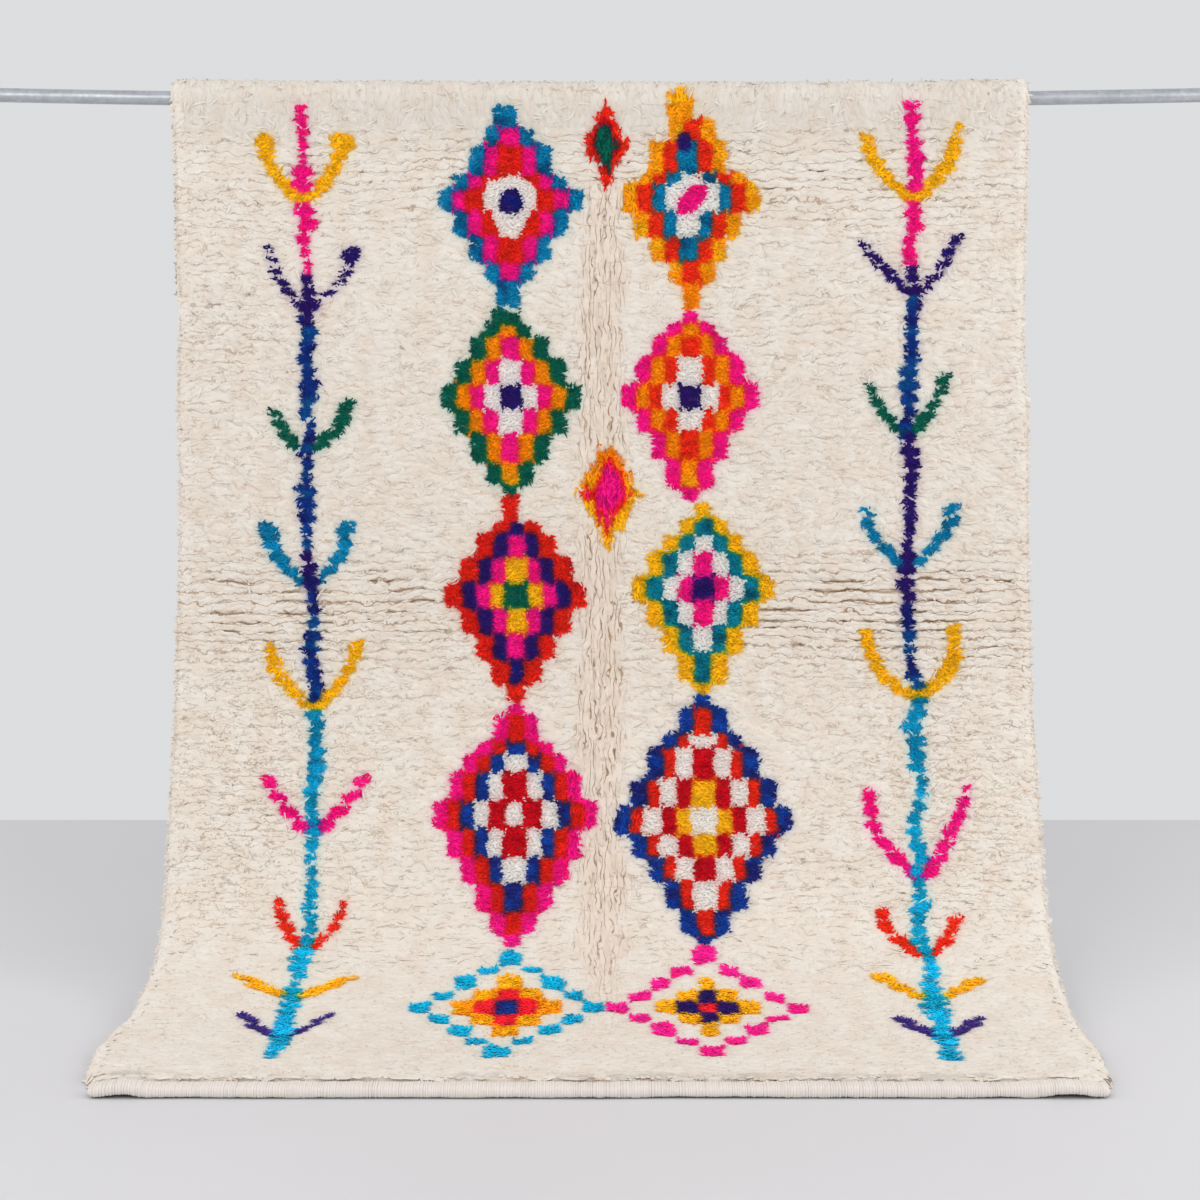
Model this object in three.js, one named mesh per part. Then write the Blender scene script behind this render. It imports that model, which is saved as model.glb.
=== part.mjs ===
// A hand-knotted wool rug hanging over a steel rod and running out on the floor in front of it.
// Millimetres, +Z up, floor at zero. The pile side faces the front, towards -Y.
import * as THREE from 'three';

// Rod: a plain tube, bent down a little at the middle by the rug's weight.
const rodLength = 2200;
const rodDiameter = 25;
const rodHeight = 1524;
const rodSag = 12;
const rodSides = 20;
const rodSteps = 24;

// Rug: the cloth's own sizes.
const rugLength = 2500;
const pileDepth = 22;
const rodClearance = 2.5;
const backLength = 415;
const hemStep = 7;
const hemSteps = 8;
const edgeRound = 10;
const edgeDepthShare = 0.7;
const columnCount = 26;

// How the cloth bends from hanging straight down to lying flat: arcs and straight stretches, in order
// from the rod to the floor. A turn is in degrees, and the turns add up to a quarter circle.
const bendRuns = [
  { name: 'belly', length: 460, turn: 28, steps: 9 },
  { name: 'slope', length: 50, turn: 0, steps: 1 },
  { name: 'toe', length: 250, turn: 45, steps: 9 },
  { name: 'landing', length: 260, turn: 17, steps: 5 },
];

// Where the two long edges run. along is measured along the cloth's back from the top of the rod, left
// and right are the distances from the middle line to the edges, pile included.
const edgeRows = [
  { along: -415, left: 752, right: 748 },
  { along: 0, left: 752, right: 752 },
  { along: 200, left: 745, right: 750 },
  { along: 400, left: 740, right: 748 },
  { along: 560, left: 745, right: 755 },
  { along: 720, left: 744, right: 758 },
  { along: 1080, left: 750, right: 763 },
  { along: 1260, left: 751, right: 767 },
  { along: 1560, left: 746, right: 765 },
  { along: 1710, left: 754, right: 763 },
  { along: 1900, left: 785, right: 775 },
  { along: 2000, left: 779, right: 771 },
  { along: 2085, left: 758, right: 755 },
];

// Soft folds, as low rounded swellings away from the cloth's back. Each reaches its height at its middle
// and fades out at its reach, along the cloth and across it.
const foldRows = [
  { name: 'middle crease', along: 820, alongReach: 780, across: 15, acrossReach: 95, height: 6 },
  { name: 'belly swell', along: 900, alongReach: 260, across: 60, acrossReach: 1100, height: 7 },
  { name: 'left shoulder', along: 330, alongReach: 240, across: -560, acrossReach: 330, height: 5 },
  { name: 'right shoulder', along: 430, alongReach: 280, across: 520, acrossReach: 300, height: 4 },
  { name: 'left flank', along: 1220, alongReach: 300, across: -610, acrossReach: 260, height: 6 },
  { name: 'right flank', along: 1150, alongReach: 260, across: 640, acrossReach: 240, height: 5 },
  { name: 'left hem lift', along: 2085, alongReach: 90, across: -705, acrossReach: 42, height: 5 },
  { name: 'right hem lift', along: 2085, alongReach: 110, across: 690, acrossReach: 60, height: 5 },
  { name: 'back swell', along: -300, alongReach: 200, across: -150, acrossReach: 520, height: 5 },
];

// How deep the cloth and its pile are near each end, by distance from the end: a rolled hem with a round
// nose, a crease beside it, then the full pile. lift is how far the nose's underside stands up.
const hemRows = [
  { fromEnd: 0, depth: 6, lift: 5 },
  { fromEnd: hemStep, depth: 16, lift: 0 },
  { fromEnd: 4 * hemStep, depth: 16, lift: 0 },
  { fromEnd: 5 * hemStep, depth: 12, lift: 0 },
  { fromEnd: 7 * hemStep, depth: 20, lift: 0 },
  { fromEnd: 12 * hemStep, depth: pileDepth, lift: 0 },
];

const rodRadius = rodDiameter / 2;
const wrapRadius = rodRadius + rodClearance;
const wrapLength = Math.PI * wrapRadius;
const frontLength = rugLength - backLength;
const bendLength = bendRuns.reduce((sum, run) => sum + run.length, 0);

function degrees(angle) {
  return THREE.MathUtils.degToRad(angle);
}

// Reads a table of rows between its entries along one named column.
function readTable(rows, key, at, column) {
  const last = rows[rows.length - 1];
  if (at <= rows[0][key]) return rows[0][column];
  if (at >= last[key]) return last[column];
  const next = rows.findIndex((row) => row[key] > at);
  const low = rows[next - 1];
  const high = rows[next];
  const share = THREE.MathUtils.smoothstep(at, low[key], high[key]);
  return THREE.MathUtils.lerp(low[column], high[column], share);
}

// How far the bend comes down, from the end of the straight drop to the floor.
function bendDrop() {
  let heading = -90;
  let drop = 0;
  for (const run of bendRuns) {
    const middle = degrees(heading + run.turn / 2);
    const half = degrees(run.turn / 2);
    const chord = run.turn === 0 ? run.length : (run.length * Math.sin(half)) / half;
    drop -= chord * Math.sin(middle);
    heading += run.turn;
  }
  return drop;
}

// The whole way of the cloth's back, from the rear hem over the rod to the front hem.
function wayRuns() {
  const frontDrop = rodHeight - bendDrop();
  const floorLength = frontLength - wrapLength / 2 - frontDrop - bendLength;
  const hem = { length: hemSteps * hemStep, turn: 0, steps: hemSteps };
  const rearDrop = { length: backLength - wrapLength / 2 - hem.length, turn: 0, steps: 5 };
  const wrap = { length: wrapLength, turn: -180, steps: 12 };
  const drop = { length: frontDrop, turn: 0, steps: 9 };
  const floor = { length: floorLength - hem.length, turn: 0, steps: 3 };
  return [hem, rearDrop, wrap, drop, ...bendRuns, floor, hem];
}

// Stations along the cloth's back. forward is towards the front from the rod's axis, heading is the
// direction of travel above the level, in degrees.
function stations() {
  let forward = -wrapRadius;
  let up = rodHeight - (backLength - wrapLength / 2);
  let heading = 90;
  let along = -backLength;
  const list = [{ forward, up, heading, along }];
  for (const run of wayRuns()) {
    const turn = run.turn / run.steps;
    const half = degrees(turn / 2);
    const arc = run.length / run.steps;
    const chord = turn === 0 ? arc : (arc * Math.sin(half)) / half;
    for (let step = 0; step < run.steps; step += 1) {
      const middle = degrees(heading + turn / 2);
      forward += chord * Math.cos(middle);
      up += chord * Math.sin(middle);
      heading += turn;
      along += arc;
      list.push({ forward, up, heading, along });
    }
  }
  return list;
}

// How far the rod's axis lies under its ends, at a place across.
function sagAt(across) {
  const share = across / (rodLength / 2);
  return rodSag * (1 - share * share);
}

// The share of the rod's sag that the cloth follows: all of it at the back and over the rod, none of
// it where the cloth starts to bend towards the floor.
function sagShare(along) {
  const bendStart = wrapLength / 2 + rodHeight - bendDrop();
  return 1 - THREE.MathUtils.clamp((along - wrapLength / 2) / (bendStart - wrapLength / 2), 0, 1);
}

// One fold's swelling, from 1 at its middle to 0 at its reach.
function swell(distance, reach) {
  const share = Math.min(Math.abs(distance) / reach, 1);
  return (1 + Math.cos(Math.PI * share)) / 2;
}

function foldHeight(along, across) {
  let height = 0;
  for (const fold of foldRows) {
    const lengthwise = swell(along - fold.along, fold.alongReach);
    height += fold.height * lengthwise * swell(across - fold.across, fold.acrossReach);
  }
  return height;
}

// Reads the hem's table from whichever end of the cloth is nearer.
function nearEnd(along, column) {
  const fromEnd = Math.min(along + backLength, frontLength - along);
  return readTable(hemRows, 'fromEnd', fromEnd, column);
}

// Places across the cloth: one close to each edge for its round, the rest evenly spaced.
function columns(left, right) {
  const inner = columnCount - 2;
  const list = [-left];
  for (let step = 0; step < inner; step += 1) {
    const share = step / (inner - 1);
    list.push(THREE.MathUtils.lerp(-left + edgeRound, right - edgeRound, share));
  }
  list.push(right);
  return list;
}

// A closed shell from a grid of points on the cloth's back and a grid on its pile side.
function rugGeometry() {
  const positions = [];
  const way = stations();
  for (const station of way) {
    const left = readTable(edgeRows, 'along', station.along, 'left');
    const right = readTable(edgeRows, 'along', station.along, 'right');
    const depth = nearEnd(station.along, 'depth');
    const lift = nearEnd(station.along, 'lift');
    const normalForward = -Math.sin(degrees(station.heading));
    const normalUp = Math.cos(degrees(station.heading));
    columns(left, right).forEach((across, column, all) => {
      const isEdge = column === 0 || column === all.length - 1;
      const back = foldHeight(station.along, across) + lift;
      const front = back + depth * (isEdge ? edgeDepthShare : 1);
      const sink = sagAt(across) * sagShare(station.along);
      for (const offset of [back, front]) {
        const forward = station.forward + normalForward * offset;
        positions.push(across, -forward, station.up + normalUp * offset - sink);
      }
    });
  }
  const geometry = new THREE.BufferGeometry();
  geometry.setAttribute('position', new THREE.Float32BufferAttribute(positions, 3));
  geometry.setIndex(shellFaces(way.length, columnCount));
  geometry.computeVertexNormals();
  return geometry;
}

// Triangles of the shell. Each grid point has its back vertex first and its pile vertex after it.
function shellFaces(rows, width) {
  const faces = [];
  const back = (row, column) => 2 * (row * width + column);
  const pile = (row, column) => back(row, column) + 1;
  const quad = (a, b, c, d) => faces.push(a, b, c, a, c, d);
  for (let row = 0; row + 1 < rows; row += 1) {
    for (let column = 0; column + 1 < width; column += 1) {
      const nextRow = row + 1;
      const nextColumn = column + 1;
      quad(
        pile(row, column),
        pile(nextRow, column),
        pile(nextRow, nextColumn),
        pile(row, nextColumn),
      );
      quad(
        back(row, column),
        back(row, nextColumn),
        back(nextRow, nextColumn),
        back(nextRow, column),
      );
    }
    quad(back(row, 0), back(row + 1, 0), pile(row + 1, 0), pile(row, 0));
    const edge = width - 1;
    quad(pile(row, edge), pile(row + 1, edge), back(row + 1, edge), back(row, edge));
  }
  for (let column = 0; column + 1 < width; column += 1) {
    const end = rows - 1;
    quad(back(0, column), pile(0, column), pile(0, column + 1), back(0, column + 1));
    quad(back(end, column), back(end, column + 1), pile(end, column + 1), pile(end, column));
  }
  return faces;
}

// The rod: a straight cylinder laid across, each of its rings let down by the sag.
function rodGeometry() {
  const geometry = new THREE.CylinderGeometry(
    rodRadius,
    rodRadius,
    rodLength,
    rodSides,
    rodSteps,
  );
  geometry.rotateZ(Math.PI / 2);
  const position = geometry.getAttribute('position');
  for (let index = 0; index < position.count; index += 1) {
    const across = position.getX(index);
    position.setZ(index, position.getZ(index) + rodHeight - sagAt(across));
  }
  geometry.computeVertexNormals();
  return geometry;
}

const wool = new THREE.MeshStandardMaterial({ color: 0xe9dfce, roughness: 0.95, metalness: 0 });
const zinc = new THREE.MeshStandardMaterial({ color: 0xa4a9b0, roughness: 0.42, metalness: 0.85 });

const rug = new THREE.Mesh(rugGeometry(), wool);
rug.name = 'rug';

const rod = new THREE.Mesh(rodGeometry(), zinc);
rod.name = 'rod';

// The origin is on the floor, under the middle of everything.
const rugOverRod = new THREE.Group();
rugOverRod.add(rug, rod);
const reach = new THREE.Box3().setFromObject(rugOverRod);
rugOverRod.position.y = -(reach.min.y + reach.max.y) / 2;
rugOverRod.position.x = -(reach.min.x + reach.max.x) / 2;

export default rugOverRod;
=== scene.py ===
"""An ivory wool rug with dyed lozenges and branching stems, hung over a steel rod and run out on the floor.

Metres, +Z up, floor at zero. The pile side faces the front, towards -Y. A place on the cloth is given by
how far it lies along the cloth's back from the top of the rod, how far across from the middle line, and
its lift above the cloth's back.
"""

import logging
import math
from dataclasses import dataclass, field
from enum import Enum

import bpy
import numpy as np
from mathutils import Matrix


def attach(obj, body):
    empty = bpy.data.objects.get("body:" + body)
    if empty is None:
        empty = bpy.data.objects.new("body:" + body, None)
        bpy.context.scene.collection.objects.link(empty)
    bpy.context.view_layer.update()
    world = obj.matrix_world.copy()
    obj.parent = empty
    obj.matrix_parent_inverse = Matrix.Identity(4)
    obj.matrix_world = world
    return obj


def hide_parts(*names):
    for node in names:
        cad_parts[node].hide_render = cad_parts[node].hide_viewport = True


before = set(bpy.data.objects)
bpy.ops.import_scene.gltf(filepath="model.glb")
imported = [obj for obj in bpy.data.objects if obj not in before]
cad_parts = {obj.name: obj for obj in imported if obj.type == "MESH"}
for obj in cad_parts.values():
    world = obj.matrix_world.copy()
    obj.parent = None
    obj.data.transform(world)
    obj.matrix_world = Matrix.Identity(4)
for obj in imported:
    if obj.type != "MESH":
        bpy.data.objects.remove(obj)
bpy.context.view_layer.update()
BODY = "root"
LOG = logging.getLogger("rug")

Array = np.ndarray
Chance = np.random.Generator
Socket = bpy.types.NodeSocket


class Dye(Enum):
    """The wools of the pile, by the record's material slots."""

    IVORY = "ivory_pile"
    WHITE = "white_pile"
    PINK = "pink_pile"
    CRIMSON = "crimson_pile"
    VERMILION = "vermilion_pile"
    MARIGOLD = "marigold_pile"
    TURQUOISE = "turquoise_pile"
    ROYAL = "royal_pile"
    INDIGO = "indigo_pile"
    GREEN = "green_pile"


DYES = list(Dye)
IVORY, WHITE, PINK, CRIMSON, VERMILION, MARIGOLD, TURQUOISE, ROYAL, INDIGO, GREEN = DYES
IVORY_NUMBER = DYES.index(IVORY)
NO_DYE = -1


def linear(red: int, green: int, blue: int) -> tuple[float, float, float, float]:
    """Turns a colour of 0 to 255 as seen into the shader's linear colour."""
    parts = [value / 255 for value in (red, green, blue)]
    straight = [value / 12.92 if value < 0.04045 else ((value + 0.055) / 1.055) ** 2.4 for value in parts]
    return (*straight, 1.0)


def swell(distance: Array, reach: float) -> Array:
    """A soft swelling, 1 at its middle and 0 at its reach."""
    share = np.minimum(np.abs(distance) / reach, 1)
    return (1 + np.cos(np.pi * share)) / 2


def eased(share: Array) -> Array:
    """A share from 0 to 1, made to start and end softly."""
    return share * share * (3 - 2 * share)


def ease(value: Array, low: float, high: float) -> Array:
    """A smooth step from 0 at low to 1 at high."""
    return eased(np.clip((value - low) / (high - low), 0, 1))


def every_pair(rows: Array, columns: Array) -> tuple[Array, Array]:
    """Every row with every column, as two flat arrays."""
    first, second = np.meshgrid(rows, columns, indexing="ij")
    return first.ravel(), second.ravel()


def read_rows(rows: list, at: Array) -> Array:
    """Reads a table of (place, value) rows with an eased step between neighbours.

    Args:
        rows: Pairs of place and value, by growing place.
        at: The places to read.

    Returns:
        The value at each place.
    """
    places, values = np.array(rows).T
    at = np.clip(at, places[0], places[-1])
    low = np.clip(np.searchsorted(places, at, side="right") - 1, 0, len(places) - 2)
    share = eased((at - places[low]) / (places[low + 1] - places[low]))
    return values[low] + (values[low + 1] - values[low]) * share


class Unevenness:
    """Smooth unevenness over two coordinates, the same on every run."""

    CELLS = 256

    def __init__(self, seed: int) -> None:
        """Fills the table of heights from the seed."""
        self.table = np.random.default_rng(seed).uniform(-1, 1, (self.CELLS, self.CELLS))

    def at(self, first: Array, second: Array) -> Array:
        """Heights between -1 and 1.

        Args:
            first: The first coordinate, one cell to a unit.
            second: The second coordinate, likewise.

        Returns:
            The height at each place.
        """
        (here, into), (low, above) = (self.cell(value) for value in np.broadcast_arrays(first, second))
        there = (here + 1) % self.CELLS
        high = (low + 1) % self.CELLS
        table = self.table
        near = table[here, low] + (table[there, low] - table[here, low]) * into
        far = table[here, high] + (table[there, high] - table[here, high]) * into
        return near + (far - near) * above

    def cell(self, value: Array) -> tuple[Array, Array]:
        """The cell that each coordinate lies in, and the eased share of the way through it."""
        whole = np.floor(value).astype(int)
        return whole % self.CELLS, eased(value - whole)

    def rough(self, first: Array, second: Array) -> Array:
        """Unevenness with a finer one of half its height on it."""
        return (self.at(first, second) + 0.5 * self.at(2.1 * first + 7.3, 2.1 * second + 3.1)) / 1.5


@dataclass(frozen=True)
class BendRun:
    """A stretch of the cloth's way of even bend: its length, and its turn in degrees."""

    length: float
    turn: float


@dataclass(frozen=True)
class Swelling:
    """A soft swelling on the cloth: its middle and its reach both ways, and its height or strength."""

    along: float
    along_reach: float
    across: float
    across_reach: float
    height: float


def raised(places: tuple, ground: float, along: Array, across: Array) -> Array:
    """Height of the ground with all its swellings.

    Args:
        places: The swellings.
        ground: The height between them.
        along: Where it is wanted along the cloth.
        across: Where it is wanted across.

    Returns:
        The height at each place.
    """
    height = np.full(np.broadcast(along, across).shape, ground)
    for place in places:
        lengthwise = swell(along - place.along, place.along_reach)
        height += place.height * lengthwise * swell(across - place.across, place.across_reach)
    return height


@dataclass
class Drape:
    """The shape in which the cloth hangs over the rod and runs out on the floor."""

    rod_height: float = 1.524
    rod_half_length: float = 1.1
    rod_sag: float = 0.012
    rod_radius: float = 0.0125
    rod_clearance: float = 0.0025
    rod_y: float = 0.3738078
    length: float = 2.5
    back_length: float = 0.415
    pile_depth: float = 0.022
    step: float = 0.0005
    bends: tuple = (BendRun(0.460, 28), BendRun(0.050, 0), BendRun(0.250, 45), BendRun(0.260, 17))
    left_rows: tuple = (
        (-0.415, 0.752), (0.0, 0.752), (0.2, 0.745), (0.4, 0.740), (0.56, 0.745), (0.72, 0.744),
        (1.08, 0.750), (1.26, 0.751), (1.56, 0.746), (1.71, 0.754), (1.90, 0.785), (2.00, 0.779),
        (2.085, 0.758),
    )
    right_rows: tuple = (
        (-0.415, 0.748), (0.0, 0.752), (0.2, 0.750), (0.45, 0.748), (0.60, 0.757), (0.72, 0.758),
        (1.08, 0.763), (1.26, 0.767), (1.56, 0.765), (1.75, 0.763), (1.91, 0.775), (2.04, 0.769),
        (2.085, 0.755),
    )
    folds: tuple = (
        Swelling(0.820, 0.780, 0.015, 0.095, 0.006),
        Swelling(0.900, 0.260, 0.060, 1.100, 0.007),
        Swelling(0.330, 0.240, -0.560, 0.330, 0.005),
        Swelling(0.430, 0.280, 0.520, 0.300, 0.004),
        Swelling(1.220, 0.300, -0.610, 0.260, 0.006),
        Swelling(1.150, 0.260, 0.640, 0.240, 0.005),
        Swelling(2.085, 0.090, -0.705, 0.042, 0.005),
        Swelling(2.085, 0.110, 0.690, 0.060, 0.005),
        Swelling(-0.300, 0.200, -0.150, 0.520, 0.005),
    )

    def __post_init__(self) -> None:
        """Lays out the cloth's way from the rear hem over the rod to the front hem."""
        self.wrap_radius = self.rod_radius + self.rod_clearance
        self.wrap_length = math.pi * self.wrap_radius
        self.front_length = self.length - self.back_length
        drop, heading = 0.0, -90.0
        for run in self.bends:
            half = math.radians(run.turn / 2)
            chord = run.length * (math.sin(half) / half if run.turn else 1)
            drop -= chord * math.sin(math.radians(heading) + half)
            heading += run.turn
        straight = self.rod_height - drop
        self.bend_start = self.wrap_length / 2 + straight
        rear = self.back_length - self.wrap_length / 2
        runs = [BendRun(rear, 0), BendRun(self.wrap_length, -180), BendRun(straight, 0), *self.bends]
        runs.append(BendRun(self.length - sum(run.length for run in runs), 0))
        starts = np.cumsum([0] + [run.length for run in runs])
        headings = 90 + np.cumsum([0] + [run.turn for run in runs])
        ticks = np.arange(0, self.length + self.step, self.step)
        self.way_heading = np.radians(np.interp(ticks, starts, headings))
        middles = np.radians(np.interp(ticks[:-1] + self.step / 2, starts, headings))
        self.way_along = ticks - self.back_length
        forward = np.concatenate([[0], np.cumsum(np.cos(middles) * self.step)])
        up = np.concatenate([[0], np.cumsum(np.sin(middles) * self.step)])
        self.way_forward = forward - self.wrap_radius
        self.way_up = up + self.rod_height - rear

    def left(self, along: Array) -> Array:
        """Distance from the middle line to the left edge, pile included."""
        return read_rows(self.left_rows, along)

    def right(self, along: Array) -> Array:
        """Distance from the middle line to the right edge, pile included."""
        return read_rows(self.right_rows, along)

    def sag(self, across: Array) -> Array:
        """How far the rod's axis lies under its ends."""
        share = across / self.rod_half_length
        return self.rod_sag * (1 - share * share)

    def place(self, along: Array, across: Array, lift: Array) -> Array:
        """Points of the scene for places on the cloth.

        Args:
            along: Distance along the cloth's back from the top of the rod.
            across: Distance from the middle line.
            lift: Height above the cloth's back.

        Returns:
            An array with x, y and z in its last axis.
        """
        along, across, lift = np.broadcast_arrays(along, across, lift)
        heading = np.interp(along, self.way_along, self.way_heading)
        forward = np.interp(along, self.way_along, self.way_forward)
        up = np.interp(along, self.way_along, self.way_up)
        past = along - np.clip(along, self.way_along[0], self.way_along[-1])
        forward = forward + np.cos(heading) * past
        up = up + np.sin(heading) * past
        offset = lift + raised(self.folds, 0.0, along, across)
        top = self.wrap_length / 2
        share = 1 - np.clip((along - top) / (self.bend_start - top), 0, 1)
        forward = forward - np.sin(heading) * offset
        up = up + np.cos(heading) * offset - self.sag(across) * share
        return np.stack([across, self.rod_y - forward, up], axis=-1)


class Motif:
    """A dyed figure knotted into the pile."""

    def dye_numbers(self, along: Array, across: Array) -> Array:
        """Number of the dye at each place, or NO_DYE outside the figure."""
        raise NotImplementedError


@dataclass
class Lozenge(Motif):
    """A stepped lozenge of nested rings, each about one block wide.

    along is its topmost place and across its middle. heights are its rows of blocks from there down, in
    millimetres, with the heart in the middle one. rings lists the dyes from the heart outwards and widths
    their widths in blocks; IVORY leaves a ring of the ground. leans shift single rows to the right and
    widen them, in millimetres, by their number below the heart. gap parts the outermost ring's blocks.
    """

    along: float
    across: float
    half_width: float
    heights: tuple
    rings: tuple
    widths: tuple
    leans: dict = field(default_factory=dict)
    gap: float = 0.0
    slant: float = 0.010
    wobble: float = 0.0042

    def dye_numbers(self, along: Array, across: Array) -> Array:
        """Number of the dye at each place, or NO_DYE outside the figure."""
        uneven = Unevenness(int(1000 * (self.along + 2 * abs(self.across))))
        aside = across - self.across + self.wobble * uneven.rough(along / 0.020, across / 0.030)
        below = along - self.along + self.wobble * uneven.rough(across / 0.017 + 9, along / 0.040)
        lines = np.cumsum((0,) + self.heights) / 1000
        middle = len(self.heights) // 2
        heart = (lines[middle] + lines[middle + 1]) / 2
        steps = len(self.rings) - 0.5
        outwards = np.abs(aside) / self.half_width * steps
        below = below + self.slant * np.sign(below - heart) * ((outwards + 0.5) % 1 - 0.5)
        row = np.searchsorted(lines, below, side="right") - 1 - middle
        from_heart = range(-middle - 1, middle + 2)
        leans = np.array([self.leans.get(number, (0, 0)) for number in from_heart]) / 1000
        aside = aside - leans[row + middle + 1, 0]
        outwards = np.maximum(np.abs(aside) - leans[row + middle + 1, 1], 0) / self.half_width * steps
        inward = steps - outwards - np.abs(row)
        ring = len(self.rings) - 1 - np.searchsorted(np.cumsum(self.widths[::-1])[:-1], inward, side="right")
        numbers = np.array([DYES.index(dye) for dye in self.rings])
        found = np.where(inward < 0, NO_DYE, numbers[ring])
        from_line = np.abs(below[..., None] - lines).min(axis=-1)
        gap = self.gap * (1 + 0.8 * uneven.at(across / 0.013, along / 0.03))
        found[(ring == len(self.rings) - 1) & (from_line < gap)] = NO_DYE
        return found


@dataclass
class Dab(Motif):
    """A rounded patch of one dye, knotted over what lies under it.

    lean is how far it moves to the right for each step down, and point narrows it downwards.
    """

    along: float
    across: float
    half_height: float
    half_width: float
    dye: Dye
    lean: float = 0.0
    point: float = 0.0

    def dye_numbers(self, along: Array, across: Array) -> Array:
        """Number of the dye at each place, or NO_DYE outside the patch."""
        uneven = Unevenness(int(700 * self.along) + 9)
        down = (along - self.along) / self.half_height
        aside = (across - self.across - self.lean * (along - self.along)) / self.half_width
        aside = aside * (1 + self.point * down)
        share = np.abs(aside) ** 2.6 + np.abs(down) ** 2.6 + 0.30 * uneven.at(across / 0.007, along / 0.009)
        return np.where(share < 1, DYES.index(self.dye), NO_DYE)


@dataclass
class Bud(Motif):
    """A small pointed lozenge with a heart of another dye."""

    along: float
    across: float
    half_width: float
    half_height: float
    heart: Dye
    rim: Dye
    seam: Dye
    heart_share: float = 0.58
    seam_width: float = 0.15

    def dye_numbers(self, along: Array, across: Array) -> Array:
        """Number of the dye at each place, or NO_DYE outside the figure."""
        uneven = Unevenness(int(900 * self.along) + 5)
        share = np.abs(across - self.across) / self.half_width
        share = share + np.abs(along - self.along) / self.half_height
        share = share + 0.12 * uneven.at(across / 0.008, along / 0.03)
        share = share + 0.20 * uneven.at(across / 0.0036 + 30, along / 0.045)
        numbers = np.full(share.shape, NO_DYE)
        numbers[share < 1] = DYES.index(self.rim)
        numbers[share < self.heart_share + self.seam_width] = DYES.index(self.seam)
        numbers[share < self.heart_share] = DYES.index(self.heart)
        return numbers


@dataclass(frozen=True)
class Branches:
    """A pair of branches that rise from the stem and curl up to their tips, knot row by knot row.

    The tips are places along the cloth, the reaches are how far out from the stem they end. knot is the
    height of a knot with the gap under it, and fill is how much of that is dyed. bold is the side, -1 or 1,
    whose knots leave no gaps.
    """

    dye: Dye
    join: float
    left_tip: float
    left_reach: float
    right_tip: float
    right_reach: float
    half_width: float = 0.0105
    curl: float = 2.0
    fill: float = 0.92
    knot: float = 0.022
    slant: float = 0.35
    bold: int = 0


@dataclass
class Stem(Motif):
    """An upright stem with pairs of branches."""

    path: tuple
    dyes: tuple
    branches: tuple
    half_width: float = 0.0134
    knot_row: float = 0.0235
    waist: float = 0.74
    sway: float = 0.0094
    seed: int = 3

    def middle(self, along: Array) -> Array:
        """The stem's middle line, straight between its table's rows."""
        return np.interp(along, *zip(*self.path))

    def branch(self, pair: Branches, side: int, along: Array, aside: Array, uneven: Unevenness) -> Array:
        """Where one branch of a pair is dyed.

        Args:
            pair: The pair of branches.
            side: -1 for the left one, 1 for the right one.
            along: The places along the cloth.
            aside: Their distances to the right of the stem's middle.
            uneven: The stem's unevenness.

        Returns:
            True at each place inside the branch.
        """
        tip, reach = (pair.left_tip, pair.left_reach) if side < 0 else (pair.right_tip, pair.right_reach)
        rows = max(round((pair.join - tip) / pair.knot), 1)
        height = (pair.join - tip) / rows
        row = np.clip(np.floor((along - tip) / height), 0, rows - 1)
        share = (row + 0.5) / rows
        before = 1 - (row / rows) ** pair.curl
        after = 1 - ((row + 1) / rows) ** pair.curl
        out = side * reach * (before + after) / 2
        wander = uneven.at(row * 0.83 + 17 * side, np.full(row.shape, 61 * pair.join))
        swelling = 1 + 0.45 * uneven.at(row * 0.59 + 31 * side, np.full(row.shape, 83 * pair.join))
        half = (pair.half_width - 0.0026) * swelling + reach * (before - after) * 0.38
        distance = aside - out - 0.0040 * wander
        level = along - (tip + share * (pair.join - tip)) + side * pair.slant * distance
        fill = 0.98 if side == pair.bold else pair.fill
        growth = uneven.at(row * 0.71 + 5 * side, np.full(row.shape, 29 * tip))
        tall = height * fill / 2 * (1 + 0.35 * growth)
        return (distance / half) ** 2 + (level / tall) ** 4 < 1

    def dye_numbers(self, along: Array, across: Array) -> Array:
        """Number of the dye at each place, or NO_DYE outside the figure."""
        uneven = Unevenness(self.seed)
        middle = self.middle(along)
        tilted = along + 0.35 * uneven.at(along / 0.09, 4.5) * (across - middle)
        place = (tilted + 0.003 * uneven.at(across / 0.02, along / 0.05)) / self.knot_row
        row = np.floor(place)
        shift = self.sway * uneven.at(row * 0.71, np.full(along.shape, 2.5))
        swelling = 1 + 0.70 * uneven.at(row * 0.63 + 40, np.full(along.shape, 8.5))
        swelling = swelling * (1 - self.waist * (2 * (place - row) - 1) ** 2)
        swelling = swelling * (1 + 0.30 * ease(along, 1.50, 1.70))
        aside = across - middle - shift
        numbers = np.full(along.shape, NO_DYE)
        for pair in self.branches:
            for side in (-1, 1):
                numbers[self.branch(pair, side, along, across - middle, uneven)] = DYES.index(pair.dye)
        on = np.abs(aside) < self.half_width * swelling
        on &= (along > self.path[0][0]) & (along < self.path[-1][0])
        starts, mains, others = zip(*self.dyes)
        entry = np.clip(np.searchsorted(starts, along, side="right") - 1, 0, len(starts) - 1)
        main, other = (np.array([DYES.index(dye) for dye in dyes])[entry] for dyes in (mains, others))
        chosen = np.where(uneven.at(row * 0.37 + 11, across / 0.03) > 0.28, other, main)
        crossing = np.zeros(along.shape, bool)
        for pair in self.branches:
            if pair.dye is MARIGOLD and pair.join < 1.5:
                crossing |= np.abs(along - pair.join + 0.009) < 0.009
        on &= ~(crossing & (numbers != NO_DYE))
        numbers[on] = chosen[on]
        return numbers


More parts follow.
